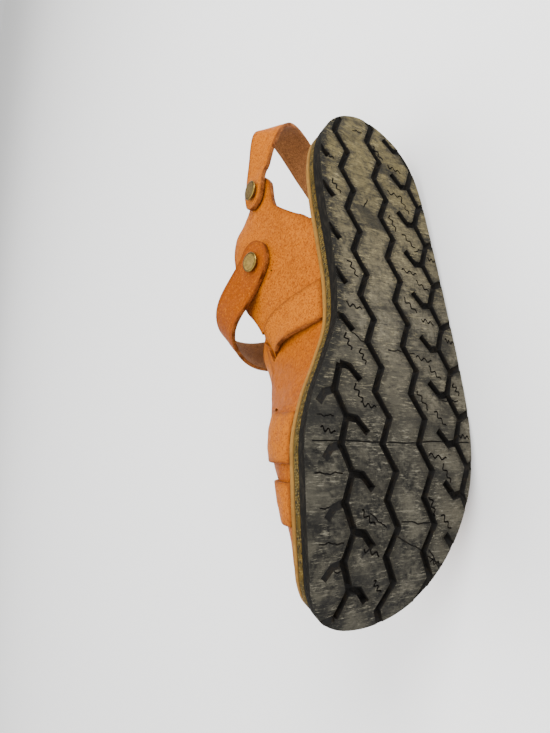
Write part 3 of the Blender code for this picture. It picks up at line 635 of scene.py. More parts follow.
def findPlace():
    # the flat ring of the midsole, turned over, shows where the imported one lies
    ring = insetRing(closedCurve(outline, 720), sole["midsoleInset"])
    layers = [np.column_stack([ring, rubberAt(ring[:, 1]) + h]) for h in (onPly + sole["gap"],
                                                                         onMidsole)]
    here = bend(np.vstack(layers)) * mm @ np.array(turned.to_3x3()).T
    low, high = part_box("midsole")
    return (np.array(low) + np.array(high)) / 2 - middleOf(here)


toRow = Matrix.Translation(Vector(findPlace())) @ turned
print("place of the heel:", [round(v, 4) for v in toRow.translation])


def finishPiece(piece, slot, *nodes):
    piece.data.transform(toRow)
    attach(piece, "root")
    if nodes:
        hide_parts(*nodes)


# sole

slab = {
    "points": 360, "step": 5.0, "smooth": 40, "sharp": 50,     # angles in degrees
    "plyEdge": 0.3, "midsoleEdge": 0.4, "footbedEdge": 0.6,
    # how far the footbed stays inside the edge: s, inset
    "footbedInset": ((0, 4.5), (52, 4.5), (66, 6.6), (235, 6.6), (262, 8.4),
                     (treadLength, 10.4)),
    "cutterPoints": 180, "cutterReach": 12,
}


def soleSlab(name, ring, low, high, edge):
    deselectAll()
    bpy.ops.mesh.primitive_circle_add(vertices=len(ring), radius=1, fill_type="NGON")
    piece = named(name)
    setPoints(piece, np.column_stack([ring, np.full(len(ring), low)]) * mm)
    editAll(piece, bpy.ops.mesh.extrude_region_move,
            TRANSFORM_OT_translate={"value": (0, 0, (high - low) * mm)})
    outwards(piece)
    if edge:
        modify(piece, "BEVEL", width=edge * mm, segments=2, limit_method="ANGLE",
               angle_limit=math.radians(slab["sharp"]))
    triangulated(piece)
    return piece


def sliceAcross(piece, places, way=(0, 1, 0)):
    pick(piece)
    bpy.ops.object.mode_set(mode="EDIT")
    for place in places:
        bpy.ops.mesh.select_all(action="SELECT")
        bpy.ops.mesh.bisect(plane_co=Vector(way) * place * mm, plane_no=way, threshold=1e-6)
    bpy.ops.object.mode_set(mode="OBJECT")


def bendSlices():
    return [*np.arange(12, 45, 6.0), 60, 75, 95, 110, 125, 140, 160, 175,
            *np.arange(sole["springStart"], treadLength, slab["step"])]


def layOnTread(piece):
    flat = points(piece) / mm
    flat[:, 2] += rubberAt(flat[:, 1])
    setPoints(piece, bend(flat) * mm)


def layerPiece(name, ring, low, high, edge, finish, slot, node):
    piece = soleSlab(name, ring, low, high, edge)
    sliceAcross(piece, bendSlices())
    attribute(piece, "level", points(piece)[:, 2] / mm - low)
    layOnTread(piece)
    dress(piece, finish)
    smooth(piece, slab["smooth"])
    finishPiece(piece, slot, node)


grooves = {
    "width": 3.4, "depth": 4.0, "pitch": 25.0,
    # sections of the cuts from over the tread down to the floor: what is added to half the
    # width and the height, or half width and height for sipes and cracks
    "deep": ((2.2, -1.0), (0.75, 0.0), (0.22, 0.28), (0.0, 0.8), (-0.15, 3.3), (-0.8, 4.0)),
    "low": ((1.9, -1.0), (0.9, 0.0), (0.1, 0.7), (-0.6, 1.3)),
    "fine": ((0.8, -1.0), (0.40, 0.0), (0.32, 1.3)),
    "hair": ((0.7, -1.0), (0.36, 0.0), (0.22, 0.8)),
    # zigzags: middle x, swing, first s, corners; hooks and branches: steps from a corner
    "main": ((-19.4, 6.6, 11.5, 23), (3.7, 6.7, 11.5, 23)),
    "outer": (29.3, 6.0, 10.5, 20), "inner": (-44.0, 5.0, 161.5, 10),
    "outerHook": ((-5.5, 1.0), (-11.5, -6.0)), "outerBranch": ((10.0, -4.0),),
    "innerHook": ((5.5, 1.0), (11.0, 7.5)), "innerBranch": ((-5.5, 1.5), (-9.5, 6.5)),
    "edge": 0.7, "edgeRise": 5.0, "edgeDepth": 0.15, "grid": 3.5, "uneven": 0.35,
    "worn": 0.3, "wornReach": 1.2,           # tops rounded off beside the grooves
    "flatTop": 0.72, "wallTop": 0.75,        # heights that part the tops from the walls
    "stainX": -22, "smooth": 35,
}
# wavy sipes: s, x, how far they are turned, length
sipes = (
    (30, 7, 35, 10), (38, 18, 80, 10), (56, 15, 85, 11), (62, 21, 30, 10), (76, 9, 20, 10),
    (85, 19, 45, 11), (105, 15, 85, 11), (112, 23, 60, 10), (125, 11, 50, 11), (133, 22, 80, 9),
    (155, 14, 80, 11), (162, 20, 50, 10), (177, 8, 30, 11), (186, 18, 40, 10), (205, 12, 80, 12),
    (213, 17, 30, 10), (228, 6, 20, 10), (236, 15, 40, 10), (255, 10, 70, 9), (110, -25, 25, 10),
    (131, -28, 80, 10), (157, -27, 20, 8), (175, -33, 25, 9), (181, -28, 80, 9),
    (150, -35, 20, 9), (94, 35, 75, 6), (143, 36, 80, 6), (195, 33, 80, 7), (170, 34, 30, 7),
    (193, -53, 75, 8), (231, -34, 50, 10), (62, -28, 35, 9),
    (43, -30, 60, 7), (20, 17, 60, 7), (246, -31, 70, 10), (262, -26, 40, 8))
# long cracks across the tread: s, x at both ends
cracks = (
    (198, 36, 197.5, -62), (211, -62, 211.5, -47), (225.5, -60, 225, -49),
    (240, -60, 240.5, -47), (186, -58, 186.5, -49), (253, -56, 252, -45), (176, 34, 176.5, 22),
    (152, -10, 152.5, 8), (236, 8, 234, -14), (236, -23, 229, -33), (240, -17, 258, 17),
    (71, -11, 65, -7), (18.5, -2, 19, -9), (248, 4, 262, 16), (150, -24, 144, -33),
    (88, 30, 91, 22))


def prism(path, section):
    # rings of a cutter along a path of x, s, with mitred bends
    path = np.asarray(path, float)
    along = unit(np.diff(path, axis=0))
    sides = np.stack([-along[:, 1], along[:, 0]], axis=1)
    mitre = np.vstack([sides[:1], sides[1:] + sides[:-1], sides[-1:]])
    scale = np.concatenate([[1.0], 2 / (mitre[1:-1] ** 2).sum(axis=1), [1.0]])
    mitre = mitre * scale[:, None]
    rings = []
    for p, m in zip(path, mitre):
        left = [(*(p + m * half), h) for half, h in section]
        right = [(*(p - m * half), h) for half, h in section[::-1]]
        rings.append(left + right)
    return rings


def cutterFrom(name, allRings):
    # closed prisms through rings of points, all facing outwards
    mesh = bpy.data.meshes.new(name)
    whole = bmesh.new()
    for rings in allRings:
        bm = bmesh.new()
        verts = [[bm.verts.new(Vector(p) * mm) for p in ring] for ring in rings]
        count = len(rings[0])
        for here, ahead in zip(verts[:-1], verts[1:]):
            for i in range(count):
                j = (i + 1) % count
                bm.faces.new((here[i], here[j], ahead[j], ahead[i]))
        bm.faces.new(verts[0][::-1])
        bm.faces.new(verts[-1])
        bmesh.ops.triangulate(bm, faces=bm.faces)
        if bm.calc_volume(signed=True) < 0:
            bmesh.ops.reverse_faces(bm, faces=bm.faces)
        bm.to_mesh(mesh)
        bm.free()
        whole.from_mesh(mesh)
    whole.to_mesh(mesh)
    whole.free()
    cutter = bpy.data.objects.new(name, mesh)
    bpy.context.scene.collection.objects.link(cutter)
    return cutter


def cut(piece, cutter, materials="INDEX", crossing=False):
    triangulated(piece)
    triangulated(cutter)
    modify(piece, "BOOLEAN", operation="DIFFERENCE", object=cutter, material_mode=materials,
           use_self=crossing)
    bpy.data.objects.remove(cutter, do_unlink=True)


def zigzag(middle, swing, first, corners):
    return [(middle + swing / 2 * (-1) ** k, first + grooves["pitch"] / 2 * k)
            for k in range(corners)]


def treadPaths():
    outer, inner = zigzag(*grooves["outer"]), zigzag(*grooves["inner"])
    zigzags = [zigzag(*row) for row in grooves["main"]] + [outer, inner]
    zigzags[1].insert(0, (0.4, -1.0))
    arms, shallow = [], []
    slits = [(inner[0][0], inner[0][1] - grooves["pitch"] * k) for k in range(1, 6)]
    for corners, steps, into in ((outer[1::2], grooves["outerHook"], arms),
                                 (outer[2::2], grooves["outerBranch"], arms),
                                 (inner[0::2], grooves["innerHook"], arms),
                                 (inner[1::2], grooves["innerBranch"], shallow),
                                 (slits, grooves["innerHook"], arms)):
        into += [[(x, s)] + [(x + dx, s + ds) for dx, ds in steps] for x, s in corners]
    return zigzags, arms, shallow


def sipePath(s, x, degrees, length):
    along = np.array([math.sin(math.radians(degrees)), math.cos(math.radians(degrees))])
    aside = np.array([-along[1], along[0]])
    steps = np.linspace(-0.5, 0.5, 17)
    wave = 0.95 * np.sin(steps * math.tau * 2.4 + s) * (1 - 0.5 * steps)
    return [tuple(np.array([x, s]) + along * length * t + aside * w)
            for t, w in zip(steps, wave)]


def crackPath(sa, xa, sb, xb):
    # a crack wanders a little between its ends
    t = np.linspace(0, 1, 12)
    aside = (0.55 * np.sin(9 * t + sa) + 0.3 * np.sin(23 * t + xa)) * np.sin(math.pi * t)
    return list(zip(xa + (xb - xa) * t, sa + (sb - sa) * t + aside))


def offLine(places, a, b):
    # distance of points from the line between two others
    along = b - a
    t = np.clip((places - a) @ along / (along @ along), 0, 1)
    return np.linalg.norm(places - a - t[:, None] * along, axis=1)


def awayFrom(places, paths):
    # distance of x, s points from the nearest of the lines
    nearest = np.full(len(places), 99.0)
    for path in paths:
        corners = np.array(path, float)
        for a, b in zip(corners[:-1], corners[1:]):
            nearest = np.minimum(nearest, offLine(places, a, b))
    return nearest


def makeTread():
    ring = closedCurve(outline, slab["points"])
    piece = soleSlab("tread", ring, 0.0, sole["heelRubber"], grooves["edge"])
    half, depth = grooves["width"] / 2, grooves["depth"]
    zigzags, arms, shallow = treadPaths()
    deep, low = ([(half + aside, h) for aside, h in grooves[key]] for key in ("deep", "low"))
    prisms = [prism(path, section) for paths, section in (
        (zigzags + arms, deep), (shallow, low),
        ([sipePath(*row) for row in sipes], grooves["fine"]),
        ([crackPath(*row) for row in cracks], grooves["hair"])) for path in paths]
    cut(piece, cutterFrom("grooves", prisms), crossing=True)
    sliceAcross(piece, np.arange(9, treadLength, grooves["grid"]))
    sliceAcross(piece, np.arange(-64, 40, grooves["grid"]), (1, 0, 0))
    flat = points(piece) / mm
    attribute(piece, "level", flat[:, 2])
    away = awayFrom(flat[:, :2], zigzags + arms) - half
    attribute(piece, "away", away)
    fromEdge = awayFrom(flat[:, :2], [np.vstack([ring, ring[:1]])])
    # the inner half of the rim is stained, so the rest is set far from it
    attribute(piece, "inner", fromEdge + 20 * np.clip((flat[:, 0] - grooves["stainX"]) / 10,
                                                      0, 1))
    inGroove = (flat[:, 2] > grooves["wallTop"]) & (flat[:, 2] < depth + 0.2)
    lifted = flat.copy()
    rise = np.clip(fromEdge / grooves["edgeRise"], 0, 1)
    rise = grooves["edgeDepth"] + (1 - grooves["edgeDepth"]) * rise
    lifted[:, 2] = np.where(inGroove, flat[:, 2] * rise, flat[:, 2])
    waves = np.array([mathNoise.noise(Vector((x / 9, s / 9, 3.1)))
                      + 0.6 * mathNoise.noise(Vector((x / 3, s / 5, 7.7)))
                      for x, s in flat[:, :2]])
    rounded = np.exp(-np.clip(away, 0, None) / grooves["wornReach"]) * grooves["worn"]
    onTop = flat[:, 2] < 0.02
    lifted[:, 2] += np.where(onTop, np.clip(waves + 0.4, 0, None) * grooves["uneven"] + rounded,
                             0)
    upper = flat[:, 2] > depth + 0.5
    lifted[:, 2] += np.where(upper, rubberAt(flat[:, 1]) - sole["heelRubber"], 0)
    dress(piece, "tread", "groove", "side")
    inside = insideTest(insetRing(ring, 0.9))
    for face in piece.data.polygons:
        places = flat[list(face.vertices)]
        middle = places.mean(axis=0)
        if places[:, 2].max() < grooves["flatTop"]:
            face.material_index = 0
        elif inside(middle[0], middle[1]) and middle[2] < depth + 0.2:
            face.material_index = 1
        else:
            face.material_index = 2
    setPoints(piece, bend(lifted) * mm)
    smooth(piece, grooves["smooth"])
    finishPiece(piece, "tread_rubber", "outsole")


def insideTest(ring):
    # whether x, s lies inside a ring
    xs, ss = ring[:, 0], ring[:, 1]
    xe, se = np.roll(xs, -1), np.roll(ss, -1)

    def inside(x, s):
        crosses = (ss > s) != (se > s)
        at = xs + (s - ss) / np.where(se == ss, 1e-9, se - ss) * (xe - xs)
        return bool((crosses & (x < at)).sum() % 2)
    return inside


makeTread()
print("tread cut")
edgeRing = closedCurve(outline, slab["points"])
layerPiece("cord_ply", insetRing(edgeRing, sole["plyInset"]), sole["gap"], onPly,
           slab["plyEdge"], "ply", "ply_rubber", "ply_layer")
layerPiece("midsole_edge", insetRing(edgeRing, sole["midsoleInset"]), onPly + sole["gap"],
           onMidsole, slab["midsoleEdge"], "midsole", "midsole_leather", "midsole")
footbedInset = hermite(*np.array(slab["footbedInset"]).T, edgeRing[:, 1])
layerPiece("footbed", insetRing(edgeRing, footbedInset[:, None]), onMidsole + sole["gap"],
           onInsole, slab["footbedEdge"], "footbed", "insole_leather", "insole")
print("sole layers laid")

# upper: two side panels and the closed toe

panel = {
    # rear and lower edge, from the ear's tip to the sole: s, girth
    "low": ((19.5, 0.77), (21, 0.79), (24, 0.81), (30.5, 0.838), (39, 0.859), (47, 0.881),
            (54, 0.918), (66, 0.977), (74, 1.0), (76, 1.03), (290, 1.03)),
    # upper edge: over the ear, along the ankle, down the throat and along the open vamp
    "top": ((19.5, 0.75), (22, 0.715), (27, 0.685), (34, 0.664), (39.5, 0.655), (45, 0.60),
            (50, 0.582), (56, 0.575), (68, 0.588), (76, 0.590), (90, 0.582), (100, 0.578),
            (109, 0.625), (120, 0.640), (132, 0.610), (145, 0.600), (165, 0.50), (180, 0.42),
            (195, 0.32), (205, 0.20), (211, 0.0), (290, 0.0)),
    "rows": 34, "finer": 4, "edge": 0.55, "seam": 0.02,
    "uneven": 0.45, "unevenSize": 14, "around": 85.0,     # mm to one unit of girth, about
    "pinhole": (87, -0.83), "pinSize": 0.65, "pinDepth": 1.3,
}
# s, girth at both ends, lift, half width in mm: soft folds from wear
folds = (
    (44, -0.64, 60, -0.80, -0.9, 3.5), (50, -0.61, 70, -0.72, 0.6, 4.0),
    (86, -0.63, 104, -0.70, -0.8, 4.0), (92, -0.86, 112, -0.94, -0.6, 3.5),
    (138, -0.66, 150, -0.86, 0.7, 4.5), (146, -0.64, 160, -0.80, -0.8, 4.0),
    (164, -0.60, 172, -0.90, -0.5, 3.5), (206, -0.30, 214, -0.62, -0.7, 4.0),
    (44, 0.64, 60, 0.80, -0.9, 3.5), (84, 0.63, 102, 0.74, -0.8, 4.0),
    (140, 0.66, 158, 0.84, -0.8, 4.5), (206, 0.26, 215, 0.60, -0.7, 4.0),
    (212, -0.18, 213, 0.20, -0.6, 3.5), (240, -0.5, 238, 0.4, -0.4, 4.0))
# s, girth, lift of the outer face
crossStrap = {
    "path": ((121.5, -1.12, 2.5), (121.5, -1.0, 2.5), (121.7, -0.90, 2.5), (123.3, -0.80, 2.5),
             (126.8, -0.72, 2.2), (128.3, -0.69, 1.0), (129.7, -0.665, -0.7),
             (131.2, -0.64, -1.7), (135.8, -0.55, -1.7), (146, -0.30, -0.6), (157, 0.0, 0.2),
             (169.5, 0.30, -0.6), (179, 0.47, -1.7), (183.8, 0.56, -1.7), (185, 0.585, -0.7),
             (186.2, 0.612, 1.0), (187.4, 0.64, 2.2), (190, 0.74, 2.5), (192.3, 0.86, 2.5),
             (194.3, 1.0, 2.5), (196, 1.12, 2.5)),
    "width": 23.0, "over": 2.0, "spread": 0.35,
    # on the inner side the lower edge stands off the panel near the waist of the sole
    "gape": 2.2, "gapeFrom": (-0.99, -0.70), "gapeAcross": 0.1,
}
toeStrap = {
    "path": ((225, -1.12, 2.5), (225, -1.0, 2.5), (225, -0.85, 2.5), (225, -0.74, 2.5),
             (225, -0.68, 1.4), (225, -0.64, -1.0), (225, -0.59, -1.7), (225, -0.3, -1.7),
             (225, 0.0, -1.7), (225, 0.3, -1.7), (225, 0.59, -1.7), (225, 0.64, -1.0),
             (225, 0.68, 1.4), (225, 0.74, 2.5), (225, 0.85, 2.5), (225, 1.0, 2.5),
             (225, 1.12, 2.5)),
    "width": 18.5,
}
woven = {"rows": 150, "toeRows": 130, "slotRows": 32, "toeSlotRows": 26, "columns": 20,
         "uneven": 0.25, "rim": 1.6, "edge": 0.5}
# "cut" is how far a slot's cutter reaches over and under the leather
slots = {"length": 4.8, "play": 1.6, "cut": (5.0, -6.0), "below": 0.5, "columns": 6}


def stations():
    known = np.concatenate([
        [19.5, 21, 24, 28, 33, 38, 42, 46, 50, 56, 63, 69, 74, 76.01],
        np.arange(85, wallSizes["closedFrom"] - 3, 9.0), [wallSizes["closedFrom"]],
        wallSizes["closedFrom"] + (wallToe - wallSizes["closedFrom"])
        * (1 - (1 - np.linspace(0, 1, 10)[1:]) ** 1.6)])
    places = np.arange((len(known) - 1) * panel["finer"] + 1) / panel["finer"]
    return np.interp(places, np.arange(len(known)), known)


def foldLift(s, girth):
    lift, across = np.zeros(len(s)), panel["around"]
    here = np.stack([s, girth * across], axis=1)
    for sa, ga, sb, gb, height, width in folds:
        off = offLine(here, np.array((sa, ga * across)), np.array((sb, gb * across)))
        lift += height * np.exp(-(off / width) ** 2)
    uneven = [mathNoise.noise(Vector((x / panel["unevenSize"], g * across
                                      / panel["unevenSize"], 2.3))) for x, g in zip(s, girth)]
    fade = np.clip((1 - np.abs(girth)) / 0.12, 0, 1) * np.clip((wallToe - s) / 12, 0, 1)
    return (lift + panel["uneven"] * np.array(uneven)) * fade


def sidePanel(side):
    at = stations()
    low = np.interp(at, *np.array(panel["low"]).T)
    top = hermite(*np.array(panel["top"]).T, at)
    top[at >= wallSizes["closedFrom"]] = 0.0

    def place(u, v):
        k = np.rint(u * (len(at) - 1)).astype(int)
        girth = side * (low[k] + (top[k] - low[k]) * v)
        return upperAt(at[k], girth, foldLift(at[k], girth))
    return laidGrid("panel", len(at) - 1, panel["rows"], place)


def strapPath(table, count, mirrored=False, over=0.0, spread=1.0):
    rows = np.array(table, float)
    places = upperAt(rows[:, 0], rows[:, 1])
    knots = distances(places)
    path = hermite(knots, rows, np.linspace(0, knots[-1], count), monotone=True)
    path[:, 2] += over * np.clip(1 - (path[:, 1] / spread) ** 2, 0, None)
    if mirrored:
        path[:, 1] *= -1
    return path


def acrossStrap(path, width, spread):
    # s and girth of the points across a strap, row by row
    s, girth = path[:, 0], path[:, 1]
    byS = upperAt(s + 0.5, girth) - upperAt(s - 0.5, girth)
    byGirth = (upperAt(s, girth + 0.005) - upperAt(s, girth - 0.005)) * 100
    ahead = byS * np.gradient(s)[:, None] + byGirth * np.gradient(girth)[:, None]
    side = unit(np.cross(upperNormal(s, girth), ahead))
    steps = np.array([np.linalg.lstsq(np.stack([a, b], axis=1), c * width / 2, rcond=None)[0]
                      for a, b, c in zip(byS, byGirth, side)])
    near = np.clip(np.arange(len(s))[:, None] + np.arange(-3, 4), 0, len(s) - 1)
    steps = steps[near].mean(axis=1)
    return (s[:, None] + steps[:, :1] * spread, girth[:, None] + steps[:, 1:] * spread)


def slotCutters(path, width):
    found = []
    for here, ahead in zip(path[:-1], path[1:]):
        if here[2] * ahead[2] < 0 and abs(here[1]) > slots["below"]:
            middle = here + here[2] / (here[2] - ahead[2]) * (ahead - here)
            places = upperAt(np.array([here[0], ahead[0]]), np.array([here[1], ahead[1]]))
            reach = (ahead - here) / np.linalg.norm(places[1] - places[0]) * slots["length"] / 2
            stretch = np.array([middle - reach, middle, middle + reach])
            columns = slots["columns"]
            spread = np.linspace(-1, 1, columns)
            s, girth = acrossStrap(stretch, width + slots["play"], spread)
            rings = []
            for k in range(3):
                high, low = (upperAt(s[k], girth[k], np.full(columns, lift))
                             for lift in slots["cut"])
                rings.append([tuple(p) for p in np.vstack([high, low[::-1]])])
            found.append(cutterFrom("slot", [rings]))
    return found


def facing(place, normal):
    return Matrix.Translation(place) @ normal.to_track_quat("Z", "Y").to_matrix().to_4x4()


def pinCutter():
    s, girth = (np.array([value]) for value in panel["pinhole"])
    place, normal = Vector(upperAt(s, girth)[0]) * mm, Vector(upperNormal(s, girth)[0])
    deselectAll()
    bpy.ops.mesh.primitive_cylinder_add(vertices=9, radius=panel["pinSize"] * mm,
                                        depth=2 * panel["pinDepth"] * mm)
    cutter = named("pin")
    cutter.data.transform(facing(place, normal))
    return cutter


def thicken(sheet, thickness):
    # leather face outside, then flesh side, then cut edge
    modify(sheet, "SOLIDIFY", thickness=thickness * mm, offset=-1, use_even_offset=False,
           use_quality_normals=True, material_offset=1, material_offset_rim=2)


def leatherEdges(piece, width):
    modify(piece, "BEVEL", width=width * mm, segments=2, limit_method="ANGLE",
           angle_limit=math.radians(slab["sharp"]), use_clamp_overlap=True)


def trimBelow(piece):
    # takes off what reaches into the sole
    reach = -slab["cutterReach"]
    ring = insetRing(closedCurve(outline, slab["cutterPoints"]), reach)
    cutter = soleSlab("below", ring, reach, onMidsole + sole["gap"], 0)
    sliceAcross(cutter, bendSlices())
    layOnTread(cutter)
    dress(cutter, "edge")
    cut(piece, cutter, materials="TRANSFER")


def rimShade(piece, reach):
    # how near each point lies to a cut edge, for the burnished rim and the painted shade along
    # the edges
    bm = bmesh.new()
    bm.from_mesh(piece.data)
    rim = [v.co.copy() for v in bm.verts if v.is_boundary]
    bm.free()
    tree = KDTree(len(rim))
    for i, co in enumerate(rim):
        tree.insert(co, i)
    tree.balance()
    distance = np.array([tree.find(v.co)[2] for v in piece.data.vertices]) / mm
    attribute(piece, "rim", np.exp(-(distance / reach) ** 1.5))
    attribute(piece, "inwards", distance)


creased = {"at": 2.4, "half": 0.45, "depth": 0.32, "waves": 0.22, "waveSize": 9.0}


def pressLine(strap):
    # a line pressed in beside the edge, and a surface that is not quite even
    inwards = np.zeros(len(strap.data.vertices), np.float32)
    strap.data.attributes["inwards"].data.foreach_get("value", inwards)
    places = points(strap)
    normals = np.array([v.normal for v in strap.data.vertices])
    line = np.exp(-((inwards - creased["at"]) / creased["half"]) ** 2) * creased["depth"]
    swell = np.array([mathNoise.noise(Vector(p / mm / creased["waveSize"])) for p in places])
    moved = (swell * creased["waves"] * np.clip(inwards / 3, 0, 1) - line) * mm
    setPoints(strap, places + normals * moved[:, None])


def makeShell():
    shell = joined([sidePanel(-1), sidePanel(1)], "upper_panels")
    outwards(shell, panel["seam"])
    faceAway(shell, 110)
    rimShade(shell, woven["rim"])
    dress(shell, "panel", "flesh", "edge")
    thicken(shell, wallSizes["wall"])
    cross, toe = crossStrap, toeStrap
    cutters = [pinCutter()]
    for path, width in (
            (strapPath(cross["path"], woven["slotRows"]), cross["width"]),
            (strapPath(cross["path"], woven["slotRows"], True), cross["width"]),
            (strapPath(toe["path"], woven["toeSlotRows"]), toe["width"])):
        cutters += slotCutters(path, width)
    for cutter in cutters:
        dress(cutter, "edge")
        cut(shell, cutter, materials="TRANSFER")
    trimBelow(shell)
    leatherEdges(shell, panel["edge"])
    smooth(shell, slab["smooth"])
    finishPiece(shell, "upper_leather", "upper")
    return shell


def toTheSole(s, girth, lift):
    # every line along a strap runs from one edge of the sole to the other
    rows = np.arange(len(s))
    for i in range(s.shape[1]):
        way = np.sign(girth[-1, i] - girth[0, i])
        at = np.linspace(*np.interp((-1, 1), way * girth[:, i], rows), len(s))
        s[:, i], girth[:, i], lift[:, i] = [np.interp(at, rows, table[:, i])
                                            for table in (s, girth, lift)]


def makeStrap(name, path, width, gape=0.0):
    # gape is how far the lower edge stands off near the waist of the sole
    columns = woven["columns"]
    spread = np.linspace(-1, 1, columns + 1)
    s, girth = acrossStrap(path, width, spread)
    count = len(path)
    low, high = crossStrap["gapeFrom"]
    there = np.clip((-np.abs(path[:, 1]) - low) / (high - low), 0, 1) * (np.arange(count)
                                                                          < count / 2)
    lift = path[:, 2][:, None] + gape * np.sin(there * math.pi)[:, None] * np.clip(
        (spread - crossStrap["gapeAcross"]) / (1 - crossStrap["gapeAcross"]), 0, 1) ** 1.5
    lift += woven["uneven"] * np.array([[mathNoise.noise(Vector((k / 6, i / 4, count)))
                                         for i in range(columns + 1)] for k in range(count)])
    toTheSole(s, girth, lift)

    def place(u, v):
        k = np.rint(u * (count - 1)).astype(int)
        i = np.rint(v * columns).astype(int)
        return upperAt(s[k, i], girth[k, i], lift[k, i])
    strap = laidGrid(name, count - 1, columns, place)
    outwards(strap)
    faceAway(strap, path[count // 2, 0])
    rimShade(strap, woven["rim"])
    dress(strap, "strapLeather", "flesh", "edge")
    thicken(strap, wallSizes["strap"])
    leatherEdges(strap, woven["edge"])
    smooth(strap, slab["smooth"])
    finishPiece(strap, "upper_leather", "upper")


def faceAway(sheet, s):
    # turns a sheet so that its face looks away from the foot
    foot = Vector((-5.0, s, 20.0)) * mm
    if sum(f.area * f.normal.dot(f.center - foot) for f in sheet.data.polygons) < 0:
        editAll(sheet, bpy.ops.mesh.flip_normals)


shell = makeShell()
print("panels made:", len(shell.data.polygons), "faces")
makeStrap("strap_under", strapPath(crossStrap["path"], woven["rows"]), crossStrap["width"],
          crossStrap["gape"])
makeStrap("strap_over", strapPath(crossStrap["path"], woven["rows"], True,
                                  crossStrap["over"], crossStrap["spread"]),
          crossStrap["width"])
makeStrap("toe_strap", strapPath(toeStrap["path"], woven["toeRows"]), toeStrap["width"])
print("woven straps made")

# the strap over the instep and the strap behind the heel

instep = {
    "on": ((66.5, -0.812), (71, -0.790), (78.8, -0.750)),
    # in the air: x, y, z and the way that the outer face looks
    "free": ((-44.3, 86.6, 76.9, -0.91, 0.00, -0.42),
             (-48.0, 94.0, 83.6, -0.93, -0.05, -0.37),
             (-50.6, 101.2, 90.8, -0.99, 0.06, -0.12),
             (-49.0, 108.2, 98.2, -0.93, 0.29, 0.24),
             (-43.0, 114.1, 104.6, -0.70, 0.50, 0.50),
             (-34.2, 118.0, 109.2, -0.42, 0.57, 0.71),
             (-24.0, 119.8, 111.2, -0.07, 0.51, 0.85),
             (-13.6, 119.8, 109.8, 0.29, 0.38, 0.88),
             (-3.6, 118.4, 105.1, 0.52, 0.25, 0.82),
             (5.5, 116.3, 98.6, 0.66, 0.13, 0.74),
             (14.1, 114.0, 91.5, 0.75, 0.02, 0.66),
             (22.6, 111.0, 84.3, 0.85, 0.00, 0.52)),
    "in": ((108, 0.72), (105, 0.80)), "width": 24.0, "rings": 22, "across": 4,
}
heel = {
    "on": ((40, 0.735), (34, 0.74), (27.5, 0.745)),
    "free": ((-36.9, 15.8, 61.3, -0.99, -0.09, -0.10),
             (-35.3, 4.6, 58.0, -0.98, -0.10, -0.19),
             (-33.2, -6.5, 55.4, -0.90, -0.22, -0.38),
             (-28.7, -16.6, 54.8, -0.62, -0.58, -0.53),
             (-20.4, -22.3, 57.7, -0.18, -0.95, -0.26),
             (-10.4, -22.2, 62.3, 0.18, -0.98, 0.12),
             (-0.8, -17.7, 66.4, 0.38, -0.83, 0.42),
             (7.7, -10.4, 69.1, 0.50, -0.65, 0.57),
             (15.3, -1.7, 70.4, 0.60, -0.53, 0.59),
             (22.2, 7.7, 70.6, 0.70, -0.49, 0.52),
             (28.8, 17.3, 70.0, 0.80, -0.45, 0.38)),
    "width": 21.5, "rings": 28, "across": 6,
}
loose = {"lift": 1.6, "apart": 0.1, "clear": 0.9, "from": 15.0, "mostPush": 4.0,
         "endsDenser": 0.5, "rim": 1.2}
packedWall = bmesh.new()
packedWall.from_mesh(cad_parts["upper"].data)
wallTree = BVHTree.FromBMesh(packedWall)
packedWall.free()


def pushOff(place, out):
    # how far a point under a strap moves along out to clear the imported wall
    start = toRow @ Vector((place + out * loose["from"]) * mm)
    way = toRow.to_3x3() @ Vector(-out)
    found = wallTree.ray_cast(start, way, (loose["from"] + loose["clear"]) * mm)[0]
    if found is None:
        return 0.0
    found = np.array(toRow.inverted() @ found) / mm
    push = loose["clear"] - np.dot(place - found, out)
    return push if push < loose["mostPush"] else 0.0


def onUpper(rows, lift, side=1):
    rows = np.array(rows, float)
    s, girth = rows[:, 0], side * rows[:, 1]
    return upperAt(s, girth, np.full(len(s), lift)), upperNormal(s, girth)


